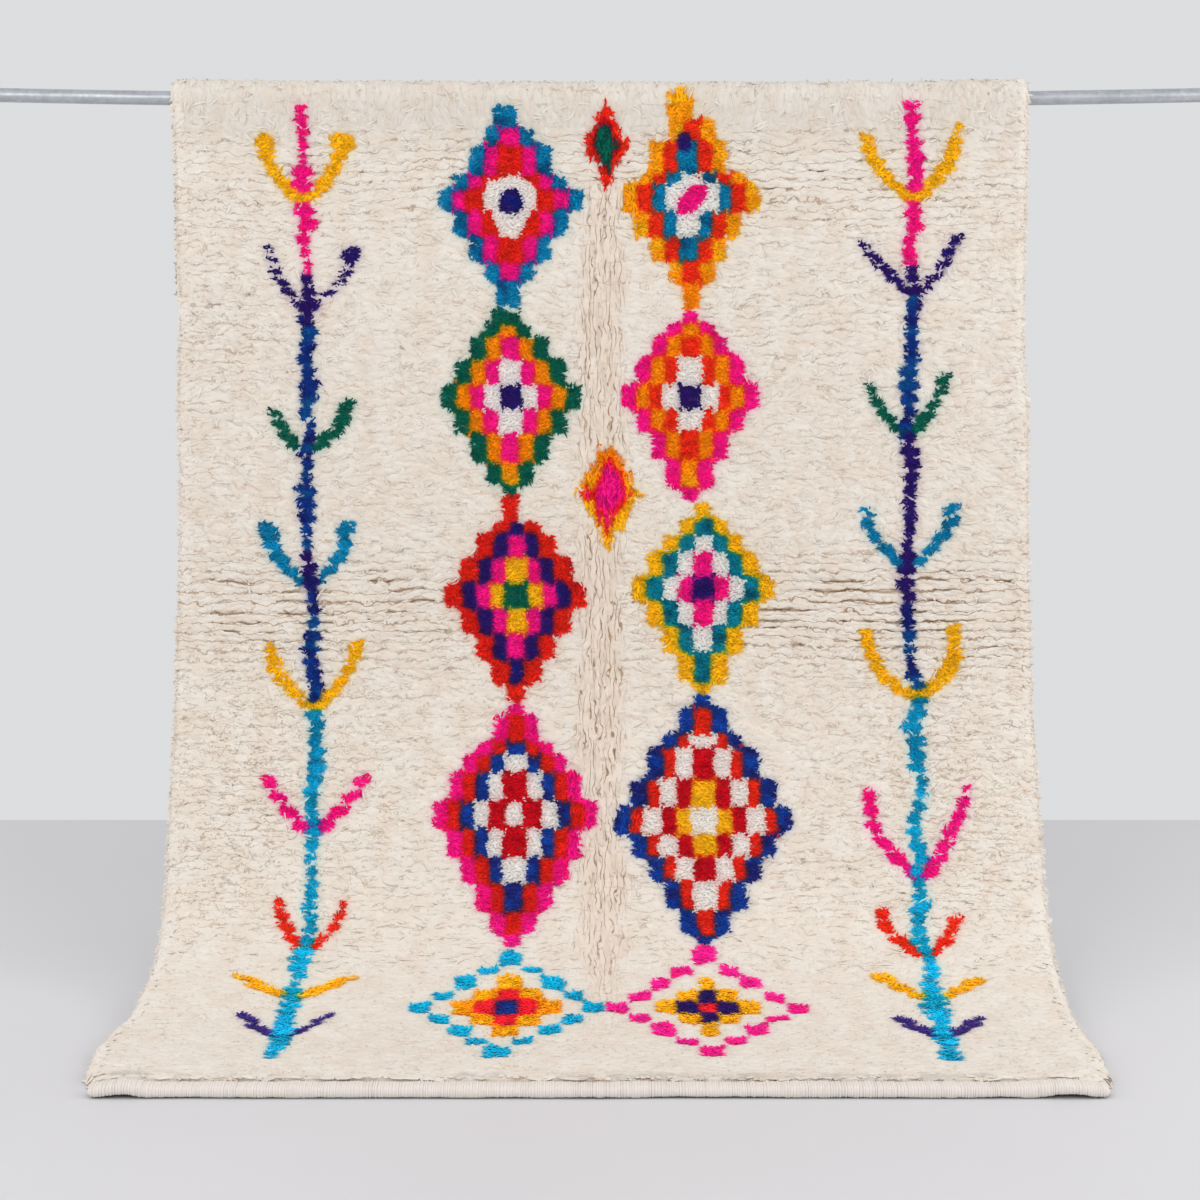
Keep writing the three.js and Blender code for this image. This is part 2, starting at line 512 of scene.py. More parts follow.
LEFT_STEM = Stem(
    path=(
        (0.034, -0.523), (0.32, -0.512), (0.55, -0.510), (0.74, -0.516), (0.90, -0.508),
        (1.08, -0.503), (1.24, -0.498), (1.39, -0.493), (1.51, -0.490), (1.61, -0.500),
        (1.76, -0.501), (1.89, -0.495), (1.97, -0.503),
    ),
    dyes=(
        (0.0, PINK, PINK), (0.335, INDIGO, INDIGO),
        (0.40, ROYAL, INDIGO), (1.10, TURQUOISE, TURQUOISE),
    ),
    branches=(
        Branches(MARIGOLD, 0.207, 0.092, 0.070, 0.090, 0.073, 0.0130),
        Branches(INDIGO, 0.395, 0.278, 0.066, 0.285, 0.084, 0.0105, 2.0, 0.55, 0.019),
        Branches(GREEN, 0.652, 0.570, 0.061, 0.558, 0.068, 0.0135, 2.0, 0.68, 0.021, bold=1),
        Branches(TURQUOISE, 0.892, 0.780, 0.074, 0.780, 0.070, 0.0135, 2.0, 0.80, 0.024, bold=1),
        Branches(MARIGOLD, 1.110, 0.990, 0.074, 0.986, 0.078, 0.0155, knot=0.020),
        Branches(PINK, 1.332, 1.225, 0.080, 1.222, 0.087, 0.0120, 1.6, 0.76, 0.028),
        Branches(VERMILION, 1.568, 1.450, 0.053, 1.450, 0.055, 0.0120, 2.0, 0.85, 0.026),
        Branches(MARIGOLD, 1.705, 1.632, 0.084, 1.632, 0.086, 0.0185, 1.5, 0.74, 0.025),
        Branches(INDIGO, 1.862, 1.760, 0.068, 1.765, 0.064, 0.0200, 1.5, 0.62, 0.032, 0.9),
    ),
)

RIGHT_STEM = Stem(
    path=(
        (0.030, 0.545), (0.20, 0.550), (0.29, 0.541), (0.35, 0.550), (0.50, 0.541),
        (0.60, 0.538), (0.75, 0.547), (0.93, 0.537), (1.03, 0.552), (1.09, 0.557),
        (1.14, 0.547), (1.24, 0.555), (1.33, 0.543), (1.40, 0.550), (1.49, 0.540),
        (1.60, 0.543), (1.78, 0.542), (1.97, 0.533),
    ),
    dyes=(
        (0.0, PINK, PINK), (0.318, INDIGO, INDIGO),
        (0.37, ROYAL, INDIGO), (1.08, TURQUOISE, TURQUOISE),
    ),
    branches=(
        Branches(MARIGOLD, 0.205, 0.082, 0.084, 0.065, 0.080, 0.0135),
        Branches(INDIGO, 0.372, 0.272, 0.084, 0.262, 0.084, 0.0105, 1.5, 0.68, 0.020),
        Branches(GREEN, 0.620, 0.524, 0.065, 0.505, 0.066, 0.0110, 2.0, 0.85),
        Branches(TURQUOISE, 0.855, 0.742, 0.081, 0.738, 0.076, 0.0115, 2.0, 0.85, 0.024),
        Branches(MARIGOLD, 1.086, 0.962, 0.074, 0.956, 0.076, 0.0150, 3.4, knot=0.020),
        Branches(PINK, 1.412, 1.248, 0.086, 1.236, 0.082, 0.0110, 2.0, 0.85, 0.026),
        Branches(VERMILION, 1.580, 1.465, 0.066, 1.480, 0.062, 0.0120, 2.0, 0.88, 0.026),
        Branches(MARIGOLD, 1.712, 1.628, 0.080, 1.640, 0.078, 0.0120, 1.5, 0.85, 0.025),
        Branches(INDIGO, 1.862, 1.775, 0.064, 1.775, 0.062, 0.0165, 1.5, 0.80, 0.030, 0.6),
    ),
    seed=8,
)

FIGURES = (
    Lozenge(0.034, -0.1565, 0.1265, (38, 31, 52, 26, 38, 45, 47, 35, 47),
            (WHITE, WHITE, VERMILION, PINK, TURQUOISE), (0.72, 0.92, 1.12, 0.90, 0.84),
            {-4: (-7, 6), 4: (-4, 4)}),
    Dab(0.2155, -0.156, 0.0525, 0.036, WHITE, 0.0, 0.45),
    Dab(0.203, -0.1555, 0.0215, 0.0205, INDIGO),
    Lozenge(0.396, -0.157, 0.1226, (23, 21, 42, 44, 46, 42, 52, 40, 17),
            (INDIGO, WHITE, PINK, MARIGOLD, GREEN), (0.70, 1.02, 0.88, 0.95, 0.95),
            {-4: (-8, 11), -3: (-5, 0), 1: (0, 3)}),
    Lozenge(0.725, -0.147, 0.123, (46, 21, 43, 46, 46, 47, 45, 45, 32),
            (GREEN, MARIGOLD, PINK, INDIGO, VERMILION), (0.76, 0.92, 0.90, 0.86, 1.06),
            {-4: (-10, 0)}),
    Lozenge(1.096, -0.147, 0.142, (21, 48, 23, 32, 50, 50, 51, 49, 56, 50, 31),
            (WHITE, CRIMSON, WHITE, ROYAL, VERMILION, PINK), (0.60, 1.20, 1.0, 0.85, 0.90, 0.95)),
    Lozenge(1.558, -0.150, 0.156, (48, 24, 49, 35, 52, 44, 51, 41, 73),
            (ROYAL, CRIMSON, MARIGOLD, IVORY, TURQUOISE), (0.50, 1.0, 1.05, 1.05, 0.90),
            {4: (-10, 2), 3: (-6, 0)}, gap=0.0055),
    Lozenge(0.016, 0.160, 0.118, (39, 40, 56, 19, 52, 44, 42, 40, 47),
            (WHITE, WHITE, TURQUOISE, VERMILION, MARIGOLD), (0.72, 1.05, 0.85, 0.98, 0.90),
            {-4: (-20, 9), -2: (-8, 0), 1: (-7, 0), 2: (-6, 0)}),
    Dab(0.199, 0.160, 0.0265, 0.0200, PINK, -0.55),
    Dab(0.097, 0.147, 0.0160, 0.0125, INDIGO),
    Lozenge(0.395, 0.158, 0.119, (21, 23, 37, 49, 47, 38, 51, 51, 23),
            (INDIGO, WHITE, VERMILION, MARIGOLD, PINK), (0.74, 1.12, 0.80, 0.88, 0.96)),
    Lozenge(0.737, 0.181, 0.1248, (28, 30, 30, 44, 43, 47, 47, 57, 20),
            (INDIGO, PINK, WHITE, TURQUOISE, MARIGOLD), (0.68, 0.92, 1.0, 0.92, 0.98)),
    Lozenge(1.082, 0.180, 0.152, (21, 47, 25, 55, 52, 50, 39, 45, 57, 54, 21),
            (WHITE, MARIGOLD, CRIMSON, WHITE, VERMILION, ROYAL),
            (0.82, 0.95, 0.92, 1.16, 0.70, 0.95)),
    Lozenge(1.548, 0.174, 0.162, (53, 37, 43, 39, 45, 36, 59, 45, 58),
            (CRIMSON, INDIGO, MARIGOLD, IVORY, PINK), (0.42, 0.95, 0.95, 1.30, 0.88),
            gap=0.0060),
    Bud(0.104, 0.010, 0.036, 0.074, GREEN, VERMILION, CRIMSON),
    Bud(0.722, 0.014, 0.058, 0.088, PINK, MARIGOLD, VERMILION),
    Dab(0.1000, -0.450, 0.0150, 0.0220, MARIGOLD, 0.3),
    Dab(0.1040, -0.582, 0.0200, 0.0130, MARIGOLD, 0.3),
    Dab(0.2970, -0.435, 0.0135, 0.0160, INDIGO, -0.4),
    Dab(0.5690, -0.446, 0.0150, 0.0130, GREEN, -0.5),
    Dab(0.7880, -0.582, 0.0150, 0.0160, TURQUOISE, 0.4),
    Dab(0.7840, -0.446, 0.0140, 0.0150, TURQUOISE, -0.3),
    LEFT_STEM,
    RIGHT_STEM,
)


@dataclass
class Chart:
    """All motifs of the rug, in the order in which they are knotted over one another."""

    motifs: tuple = FIGURES

    def dye_numbers(self, along: Array, across: Array) -> Array:
        """Number of the wool at each place, ivory where no motif lies."""
        numbers = np.full(along.shape, IVORY_NUMBER)
        for motif in self.motifs:
            own = motif.dye_numbers(along, across)
            numbers = np.where(own == NO_DYE, numbers, own)
        return numbers


@dataclass
class Partings:
    """Where the pile parts: between the rows of knots, and in the crease down the middle."""

    row_height: float = 0.0165
    start: float = -0.372
    end: float = 2.058
    crease_across: float = 0.005
    crease_half_width: float = 0.035
    crease_from: float = 0.17
    crease_to: float = 1.95
    ground_strength: float = 0.12
    curl_strength: float = 0.22
    curls: tuple = (
        Swelling(1.25, 0.45, -0.60, 0.40, 0.46),
        Swelling(1.25, 0.42, 0.62, 0.36, 0.34),
        Swelling(0.40, 0.50, -0.70, 0.30, 0.14),
        Swelling(0.80, 0.60, 0.00, 0.60, 0.10),
    )
    places: tuple = (
        Swelling(0.16, 0.17, -0.10, 1.20, 0.36),
        Swelling(0.17, 0.15, 0.45, 0.70, 0.22),
        Swelling(0.93, 0.16, 0.52, 0.75, 0.85),
        Swelling(0.93, 0.16, -0.52, 0.55, 0.72),
        Swelling(0.45, 0.35, -0.66, 0.25, 0.18),
        Swelling(1.28, 0.36, -0.62, 0.36, 0.13),
        Swelling(1.28, 0.32, 0.60, 0.36, 0.24),
        Swelling(0.40, 0.25, 0.40, 0.50, 0.12),
        Swelling(1.45, 0.20, 0.10, 0.80, 0.12),
        Swelling(-0.20, 0.30, 0.0, 1.60, 0.45),
    )

    def __post_init__(self) -> None:
        """Draws the rows' heights."""
        self.uneven = Unevenness(21)
        random = np.random.default_rng(22)
        count = int((self.end - self.start) / self.row_height)
        heights = self.row_height * random.uniform(0.80, 1.20, count)
        heights *= (self.end - self.start) / heights.sum()
        self.lines = self.start + np.concatenate([[0], np.cumsum(heights)])
        self.heights = np.append(heights, heights[-1])

    def line(self, number: Array, across: Array) -> Array:
        """Where the line above a row of knots runs, along the cloth."""
        nominal = self.lines[number]
        own = 0.24 * self.uneven.at(across / 0.045, number * 7.31)
        own = own + 0.12 * self.uneven.at(across / 0.015, number * 3.77 + 50)
        fade = ease(nominal, self.start, self.start + 0.04) * (1 - ease(nominal, self.end - 0.05, self.end))
        shared = 0.007 * self.uneven.at(across / 0.26 + 3, nominal / 0.20)
        return nominal + (own * self.heights[number] + shared) * fade

    def crease_share(self, along: Array, across: Array) -> Array:
        """1 in the crease down the middle and 0 beside it."""
        middle = self.crease_across + 0.006 * self.uneven.at(along / 0.25, 77.5)
        half = self.crease_half_width * (1 + 0.5 * self.uneven.at(along / 0.05, across / 0.3 + 31.5))
        beside = ease(np.abs(across - middle), half - 0.014, half + 0.014)
        lengthwise = ease(along, self.crease_from - 0.03, self.crease_from + 0.03)
        lengthwise = lengthwise * (1 - ease(along, self.crease_to - 0.5, self.crease_to))
        return (1 - beside) * lengthwise

    def fold_share(self, along: Array, across: Array) -> Array:
        """1 where the locks hang straight down over the rod's fold and 0 further down."""
        edge = 0.072 + 0.012 * self.uneven.at(across / 0.05, 12.5)
        return ease(along, -0.085, -0.055) * (1 - ease(along, edge - 0.008, edge + 0.008))

    def region(self, along: Array, across: Array) -> Array:
        """How strongly the rows open in a region, from 0 to about 1."""
        return raised(self.places, self.ground_strength, along, across)

    def row_place(self, along: Array, across: Array) -> Array:
        """Number of the row of knots at each place, with the share of the row that lies above the place."""
        last = len(self.lines) - 2
        low = np.clip(np.searchsorted(self.lines, along) - 1, 0, last)
        low = np.clip(low - (along < self.line(low, across)), 0, last)
        low = np.clip(low + (along >= self.line(low + 1, across)), 0, last)
        here = self.line(low, across)
        there = self.line(low + 1, across)
        return low + np.clip((along - here) / (there - here), 0, 1)

    def parting_shades(self, along: Array, across: Array) -> Array:
        """Strength of the painted shade in the fine partings: along the rows, round curled locks and down
        the crease.
        """
        crease = self.crease_share(along, across)
        plain = (1 - crease) * (1 - self.fold_share(along, across))
        plain = plain * (1 - 0.80 * ease(along, 1.45, 1.72))
        curls = raised(self.curls, self.curl_strength, along, across)
        return np.clip(np.stack([self.region(along, across) * plain, curls * plain, crease], axis=-1), 0, 1)

    def opening(self, number: Array, along: Array, across: Array) -> Array:
        """How far the pile opens at a row's line, from 0 to 1."""
        region = self.region(along, across)
        broken = 0.80 * self.uneven.at(across / 0.050 + 20, number * 5.13)
        broken = broken + 0.35 * self.uneven.at(across / 0.017, number * 2.71 + 90)
        calm = 1 - 0.9 * ease(along, 1.45, 1.65)
        return calm * np.clip(1.5 * (region + broken * (0.25 + 0.75 * region) - 0.28), 0, 1)


@dataclass
class MeshParts:
    """Vertices and faces gathered before a mesh is made of them."""

    points: list = field(default_factory=list)
    corners: list = field(default_factory=list)
    sizes: list = field(default_factory=list)
    lays: list = field(default_factory=list)
    shades: list = field(default_factory=list)
    tones: list = field(default_factory=list)
    runs: list = field(default_factory=list)
    cloths: list = field(default_factory=list)
    count: int = 0

    def add(
        self, points: Array, faces: Array, lay: Array, shade: Array,
        tone: Array | None = None, run: Array | None = None, cloth: Array | None = None,
    ) -> None:
        """Adds vertices and equal-sided faces.

        Args:
            points: Vertices, one x, y and z a row.
            faces: Vertex numbers, one face a row.
            lay: The wool's own coordinates at each vertex: across the strands and along them.
            shade: How light each vertex is painted, 0 in painted shade deep in the pile and 1 on top of it.
            tone: The dye's tint and how light the lock is, with painted shade and light in it, four values a
                vertex.
            run: The dye that runs in from beside, and how much of it.
            cloth: The places along and across the cloth, for a piece of ivory pile.
        """
        faces = np.asarray(faces)
        self.points.append(points.reshape(-1, 3))
        self.corners.append((faces + self.count).ravel())
        self.sizes.append(np.full(len(faces), faces.shape[1]))
        self.lays.append(lay.reshape(-1, 2))
        self.shades.append(shade.ravel())
        self.tones.append(np.ones((shade.size, 4)) if tone is None else tone.reshape(-1, 4))
        self.runs.append(np.zeros((shade.size, 4)) if run is None else run.reshape(-1, 4))
        self.cloths.append(np.zeros((shade.size, 2)) if cloth is None else cloth.reshape(-1, 2))
        self.count += shade.size

    def more_faces(self, faces: Array, first: int) -> None:
        """Adds faces on vertices that were added before, counted from the first of them."""
        faces = np.asarray(faces)
        self.corners.append((faces + first).ravel())
        self.sizes.append(np.full(len(faces), faces.shape[1]))

    def make(self, name: str, partings: Partings | None = None) -> bpy.types.Object:
        """Makes the mesh object.

        Args:
            name: The piece's name.
            partings: The partings of the pile, for a piece of ivory pile.

        Returns:
            The object, smooth shaded.
        """
        points, corners, sizes = (np.concatenate(rows) for rows in (self.points, self.corners, self.sizes))
        mesh = bpy.data.meshes.new(name)
        mesh.vertices.add(len(points))
        mesh.vertices.foreach_set("co", points.astype(np.float32).ravel())
        mesh.loops.add(len(corners))
        mesh.loops.foreach_set("vertex_index", corners.astype(np.int32))
        mesh.polygons.add(len(sizes))
        mesh.polygons.foreach_set("loop_start", (np.cumsum(sizes) - sizes).astype(np.int32))
        mesh.polygons.foreach_set("use_smooth", np.ones(len(sizes), bool))
        mesh.update(calc_edges=True)
        self.keep(mesh.uv_layers.new(name="lay"), "uv", np.concatenate(self.lays)[corners])
        self.keep(mesh.attributes.new("shade", "FLOAT", "POINT"), "value", np.concatenate(self.shades))
        runs = np.concatenate(self.runs)
        for title, values in (("tone", np.concatenate(self.tones)), ("run", runs)):
            self.keep(mesh.color_attributes.new(title, "FLOAT_COLOR", "POINT"), "color", values)
        if partings is not None:
            along, across = np.concatenate(self.cloths).T
            rows = partings.row_place(along, across) * partings.row_height
            self.keep(mesh.uv_layers.new(name="cloth"), "uv", np.column_stack([across, rows])[corners])
            plain = np.clip(1 - 1.6 * runs[:, 3:], 0, 1)
            # The painted shade of the fine partings, none under the dyed tufts.
            parting_shades = np.column_stack([partings.parting_shades(along, across) * plain, np.ones(len(along))])
            self.keep(mesh.color_attributes.new("parting", "FLOAT_COLOR", "POINT"), "color", parting_shades)
        mesh.validate()
        LOG.info("%s: %d triangles", name, int((sizes - 2).sum()))
        return put(name, mesh)

    @staticmethod
    def keep(layer: bpy.types.Attribute, kind: str, values: Array) -> None:
        """Fills a layer of the mesh with values of its kind."""
        layer.data.foreach_set(kind, values.astype(np.float32).ravel())


def put(name: str, data: bpy.types.ID) -> bpy.types.Object:
    """Puts a mesh, a lamp or a camera into the scene under a name."""
    made = bpy.data.objects.new(name, data)
    bpy.context.scene.collection.objects.link(made)
    return made


def grid_faces(rows: int, width: int) -> Array:
    """Faces of a grid of vertices, counted along its rows.

    Args:
        rows: The number of rows.
        width: The vertices in each row.

    Returns:
        Four vertex numbers a face.
    """
    row, column = every_pair(np.arange(rows - 1), np.arange(width - 1))
    low = row * width + column
    return np.column_stack([low, low + width, low + width + 1, low + 1])


class Nodes:
    """A node tree, with short calls to add to it. Values and sockets are given alike."""

    def __init__(self, tree: bpy.types.NodeTree) -> None:
        """Keeps the tree."""
        self.tree = tree

    def fill(self, node: bpy.types.Node, inputs: dict) -> None:
        """Sets a node's inputs, by name or number."""
        for name, value in inputs.items():
            if isinstance(value, bpy.types.NodeSocket):
                self.tree.links.new(value, node.inputs[name])
            else:
                node.inputs[name].default_value = value

    def add(self, kind: str, inputs: dict | None = None, **settings: object) -> bpy.types.NodeOutputs:
        """Adds a node.

        Args:
            kind: The node's type, without the word for shaders before it.
            inputs: Its inputs, by name or number.
            settings: The node's own properties.

        Returns:
            The node's outputs.
        """
        node = self.tree.nodes.new("ShaderNode" + kind)
        for name, value in settings.items():
            setattr(node, name, value)
        self.fill(node, inputs or {})
        return node.outputs

    def maths(self, operation: str, first: object, second: object = 0.0) -> Socket:
        """The result of a sum of two values."""
        return self.add("Math", {0: first, 1: second}, operation=operation)[0]

    def product(self, first: object, *others: object) -> Socket:
        """Some values multiplied with one another."""
        for other in others:
            first = self.maths("MULTIPLY", first, other)
        return first

    def plus(self, start: object, *terms: tuple) -> Socket:
        """A value with others added, each given after how strongly it counts."""
        for amount, value in terms:
            start = self.maths("ADD", start, self.product(value, amount))
        return start

    def blend(self, share: object, first: object, second: object, kind: str = "MIX") -> Socket:
        """A mix of two colours by the second one's share."""
        return self.add("Mix", {0: share, 6: first, 7: second}, data_type="RGBA", blend_type=kind)[2]

    def step(self, value: object, low: float, high: float) -> Socket:
        """A smooth step of a value, from 0 at low to 1 at high."""
        inputs = {"Value": value, "From Min": low, "From Max": high}
        return self.add("MapRange", inputs, interpolation_type="SMOOTHSTEP")["Result"]

    def noise(
        self, place: Socket, scale: float, detail: float, rough: float = 0.5, bent: float = 0.0,
    ) -> Socket:
        """Smooth noise at a place, mostly near a half."""
        inputs = {"Vector": place, "Scale": scale, "Detail": detail, "Roughness": rough, "Distortion": bent}
        return self.add("TexNoise", inputs)[0]

    def layer(self, name: str = "lay") -> Socket:
        """The mesh's own coordinates of one layer."""
        return self.add("UVMap", uv_map=name)[0]

    def parts(self, place: Socket) -> bpy.types.NodeOutputs:
        """The three parts of a place."""
        return self.add("SeparateXYZ", {0: place})

    def cells(self, wide: object, width: object, long: object, length: object, aside: float = 0.0) -> Socket:
        """A place counted in cells of some width and length, with a shift aside."""
        inputs = {0: self.maths("DIVIDE", wide, width), 1: self.maths("DIVIDE", long, length), 2: aside}
        return self.add("CombineXYZ", inputs)[0]

    def bump(self, strength: float, distance: float, height: object) -> Socket:
        """The normal of a surface with a fine relief."""
        return self.add("Bump", {"Strength": strength, "Distance": distance, "Height": height})[0]


class Group(Nodes):
    """A new node group, with its inputs by name."""

    def __init__(self, name: str, inputs: dict) -> None:
        """Makes the group with its inputs, each given with its usual value."""
        super().__init__(bpy.data.node_groups.new(name, "ShaderNodeTree"))
        for title, value in inputs.items():
            socket = self.tree.interface.new_socket(title, in_out="INPUT", socket_type="NodeSocketFloat")
            socket.default_value = value
        self.given = self.tree.nodes.new("NodeGroupInput").outputs

    def give(self, outputs: dict) -> bpy.types.NodeTree:
        """Adds the group's outputs, each given with its source, and closes the group."""
        for title in outputs:
            self.tree.interface.new_socket(title, in_out="OUTPUT", socket_type="NodeSocketFloat")
        self.fill(self.tree.nodes.new("NodeGroupOutput"), outputs)
        return self.tree


def fibre_group() -> bpy.types.NodeTree:
    """Fine strands of wool: a shade that varies from strand to strand, and their height."""
    group = Group("wool fibres", {"Strand width": 0.0021, "Strand length": 0.016, "Clump": 0.007})
    given = group.given
    wide, long, _ = group.parts(group.layer())
    strand = group.cells(wide, given["Strand width"], long, given["Strand length"])
    strands = group.noise(strand, 1.0, 3.0, 0.6, 0.4)
    clump = group.cells(wide, given["Clump"], long, group.product(given["Clump"], 2.2))
    clumps = group.noise(clump, 1.0, 2.0, 0.5, 0.8)
    shade = group.plus(0.0, (0.6, strands), (0.4, clumps))
    return group.give({"Shade": shade, "Height": group.plus(strands, (1.6, clumps))})


def rib_group() -> bpy.types.NodeTree:
    """Close ribs of wrapping yarn, side by side across the lay, each painted lighter on one flank and darker
    on the other, with uneven tone.
    """
    group = Group("yarn ribs", {"Pitch": 0.003, "Unevenness": 0.8})
    place = group.layer()
    stray = group.noise(place, 90.0, 2.0)
    turns = group.maths("DIVIDE", group.parts(place)[0], group.given["Pitch"])
    turns = group.plus(turns, (group.given["Unevenness"], stray))
    wave = group.maths("SINE", group.product(turns, 2 * math.pi))
    height = group.maths("ABSOLUTE", group.maths("COSINE", group.product(turns, math.pi)))
    return group.give({"Shade": group.plus(0.5, (0.25, wave), (0.25, stray)), "Height": height})


class PartingGroup(Group):
    """Fine partings of the pile, drawn as painted shade: along the rows of knots, round curled locks, down
    the crease.
    """

    def __init__(self, row_height: float) -> None:
        """Makes the group for rows of knots of this usual height."""
        super().__init__("fine partings", {"Crease gap": 0.0088})
        self.across, self.along, _ = self.parts(self.layer("cloth"))
        parting_shades = self.add("Attribute", attribute_name="parting")
        self.strengths = self.add("SeparateColor", {0: parting_shades["Color"]})
        parting_shade = self.maths("MAXIMUM", self.rows(row_height), self.curls())
        parting_shade = self.maths("MAXIMUM", parting_shade, self.crease())
        self.give({"Parting shade": parting_shade, "Crease": self.strengths[2]})

    def uneven(self, across: float, along: float, aside: float = 0.0) -> Socket:
        """Unevenness around zero.

        Args:
            across: Its size across the cloth.
            along: Its size along the cloth.
            aside: A shift that makes it differ from another of the same size.

        Returns:
            The value, mostly between -0.25 and 0.25.
        """
        place = self.cells(self.across, across, self.along, along, aside)
        return self.maths("SUBTRACT", self.noise(place, 1.0, 1.5), 0.5)

    def line(self, place: object, half: float, soft: float) -> Socket:
        """A thin line wherever a place passes a whole number."""
        part = self.maths("FRACT", self.maths("ADD", place, 0.5))
        distance = self.maths("ABSOLUTE", self.maths("SUBTRACT", part, 0.5))
        return self.maths("SUBTRACT", 1.0, self.step(distance, half, half + soft))

    def rows(self, row_height: float) -> Socket:
        """Wavy broken lines of painted shade between the rows of knots."""
        strength = self.strengths[0]
        place = self.plus(
            self.maths("DIVIDE", self.along, row_height), (1.5, self.uneven(0.030, 0.018)),
            (0.55, self.uneven(0.010, 0.010, 4.0)), (0.20, self.uneven(0.004, 0.005, 8.0)),
        )
        there = self.step(self.plus(self.uneven(0.055, 0.010, 12.0), (0.42, strength)), 0.05, 0.16)
        return self.product(self.line(place, 0.022, 0.075), there, self.plus(0.38, (0.62, strength)))

    def curls(self) -> Socket:
        """Broken lines of painted shade round small curled locks."""
        strength = self.strengths[1]
        bent = []
        for place, size, aside in ((self.across, 0.038, 16.0), (self.along, 0.0140, 24.0)):
            bent.append(self.plus(
                self.maths("DIVIDE", place, size), (1.6, self.uneven(0.016, 0.012, aside)),
                (0.7, self.uneven(0.006, 0.006, aside + 4.0)),
            ))
        place = self.add("CombineXYZ", {0: bent[0], 1: bent[1]})[0]
        cells = self.add("TexVoronoi", {"Vector": place, "Scale": 1.0}, feature="DISTANCE_TO_EDGE",
                         voronoi_dimensions="2D")
        line = self.maths("SUBTRACT", 1.0, self.step(cells["Distance"], 0.012, 0.070))
        there = self.step(self.plus(self.uneven(0.030, 0.011, 32.0), (0.30, strength)), 0.06, 0.17)
        return self.product(line, there, self.plus(0.30, (0.60, strength)))

    def crease(self) -> Socket:
        """Upright wavy lines of painted shade that run together and apart, as in bark, over soft troughs of
        painted shade.
        """
        place = self.plus(
            self.maths("DIVIDE", self.across, self.given["Crease gap"]),
            (3.0, self.uneven(0.018, 0.042, 36.0)), (0.7, self.uneven(0.007, 0.016, 40.0)),
        )
        there = self.step(self.uneven(0.009, 0.055, 44.0), -0.09, 0.05)
        line = self.product(self.line(place, 0.060, 0.080), there)
        trough_shade = self.product(self.step(self.uneven(0.008, 0.034, 52.0), -0.06, 0.16), 0.14)
        return self.product(self.maths("MAXIMUM", line, trough_shade), self.strengths[2])


class Coat(Nodes):
    """A new material's nodes, in front of its shader."""

    def __init__(self, name: str) -> None:
        """Makes the material."""
        self.material = bpy.data.materials.new(name)
        self.material.use_nodes = True
        super().__init__(self.material.node_tree)

    def lay_on(self, inputs: dict) -> bpy.types.Material:
        """Sets the shader's inputs, by name, and gives the finished material."""
        self.fill(self.tree.nodes["Principled BSDF"], inputs)
        return self.material


class SharedGroups:
    """The effects that more than one material uses, each made once."""

    def __init__(self) -> None:
        """Makes the groups."""
        self.fibres = fibre_group()
        self.ribs = rib_group()
        self.partings = PartingGroup(Partings.row_height).tree


@dataclass(frozen=True)
class WoolFinish:
    """One pile wool: its colour, the darker colour painted as shade deep in the pile, the other tone it
    drifts to, and its gloss.
    """

    dye: Dye
    colour: tuple
    deep: tuple
    other: tuple
    roughness: float = 0.88
    gloss: float = 0.08
    sheen: float = 0.01
    fibre_shade: float = 0.24
    strand: tuple = (0.0014, 0.008)
    bump: float = 0.35
    relief: float = 0.0009
    pale_from: float = 0.95
    # Colours of painted shade: dark tan in the fine partings and soft peach over the crease.
    parting_shade: tuple = linear(156, 122, 88)
    crease_shade_colour: tuple = linear(236, 210, 186)

    def make(self, shared: SharedGroups) -> bpy.types.Material:
        """Makes the material, with painted shade deep between the strands.

        Args:
            shared: The shared groups.

        Returns:
            The material.
        """
        coat = Coat(self.dye.value)
        strand = {"Strand width": self.strand[0], "Strand length": self.strand[1]}
        fibres = coat.add("Group", strand, node_tree=shared.fibres)
        shade, tone, run = (coat.add("Attribute", attribute_name=name) for name in ("shade", "tone", "run"))
        drift = coat.step(coat.noise(coat.layer(), 9.0, 2.0), 0.40, 0.64)
        colour = coat.blend(drift, self.colour, self.other)
        # Painted shade: where the shade attribute is low, deep in the pile, the colour turns to the darker
        # deep colour.
        colour = coat.blend(coat.step(shade["Fac"], 0.02, self.pale_from), self.deep, colour)
        colour = coat.blend(1.0, colour, tone["Color"], "MULTIPLY")
        colour = coat.blend(run["Alpha"], colour, run["Color"])
        if self.dye is IVORY:
            # Painted shade on the ivory: soft peach over the crease and dark tan in the fine partings.
            partings = coat.add("Group", node_tree=shared.partings)
            colour = coat.blend(coat.product(partings["Crease"], 0.27), colour, self.crease_shade_colour)
            colour = coat.blend(coat.product(partings["Parting shade"], 0.90), colour, self.parting_shade)
        dark = coat.product(coat.maths("SUBTRACT", 0.62, fibres["Shade"]), 1.6)
        dark = coat.add("Clamp", {"Value": dark})[0]
        light = coat.maths("SUBTRACT", 1.0, coat.product(dark, 2 * self.fibre_shade))
        # The tone's lightness: random tone, painted shade on the ivory and painted light on the dyed floor
        # part.
        light = coat.product(light, tone["Alpha"])
        return coat.lay_on({
            "Base Color": coat.blend(1.0, colour, light, "MULTIPLY"),
            "Roughness": self.roughness,
            "Specular IOR Level": self.gloss,
            "Sheen Weight": self.sheen,
            "Sheen Roughness": 0.45,
            "Normal": coat.bump(self.bump, self.relief, fibres["Height"]),
        })


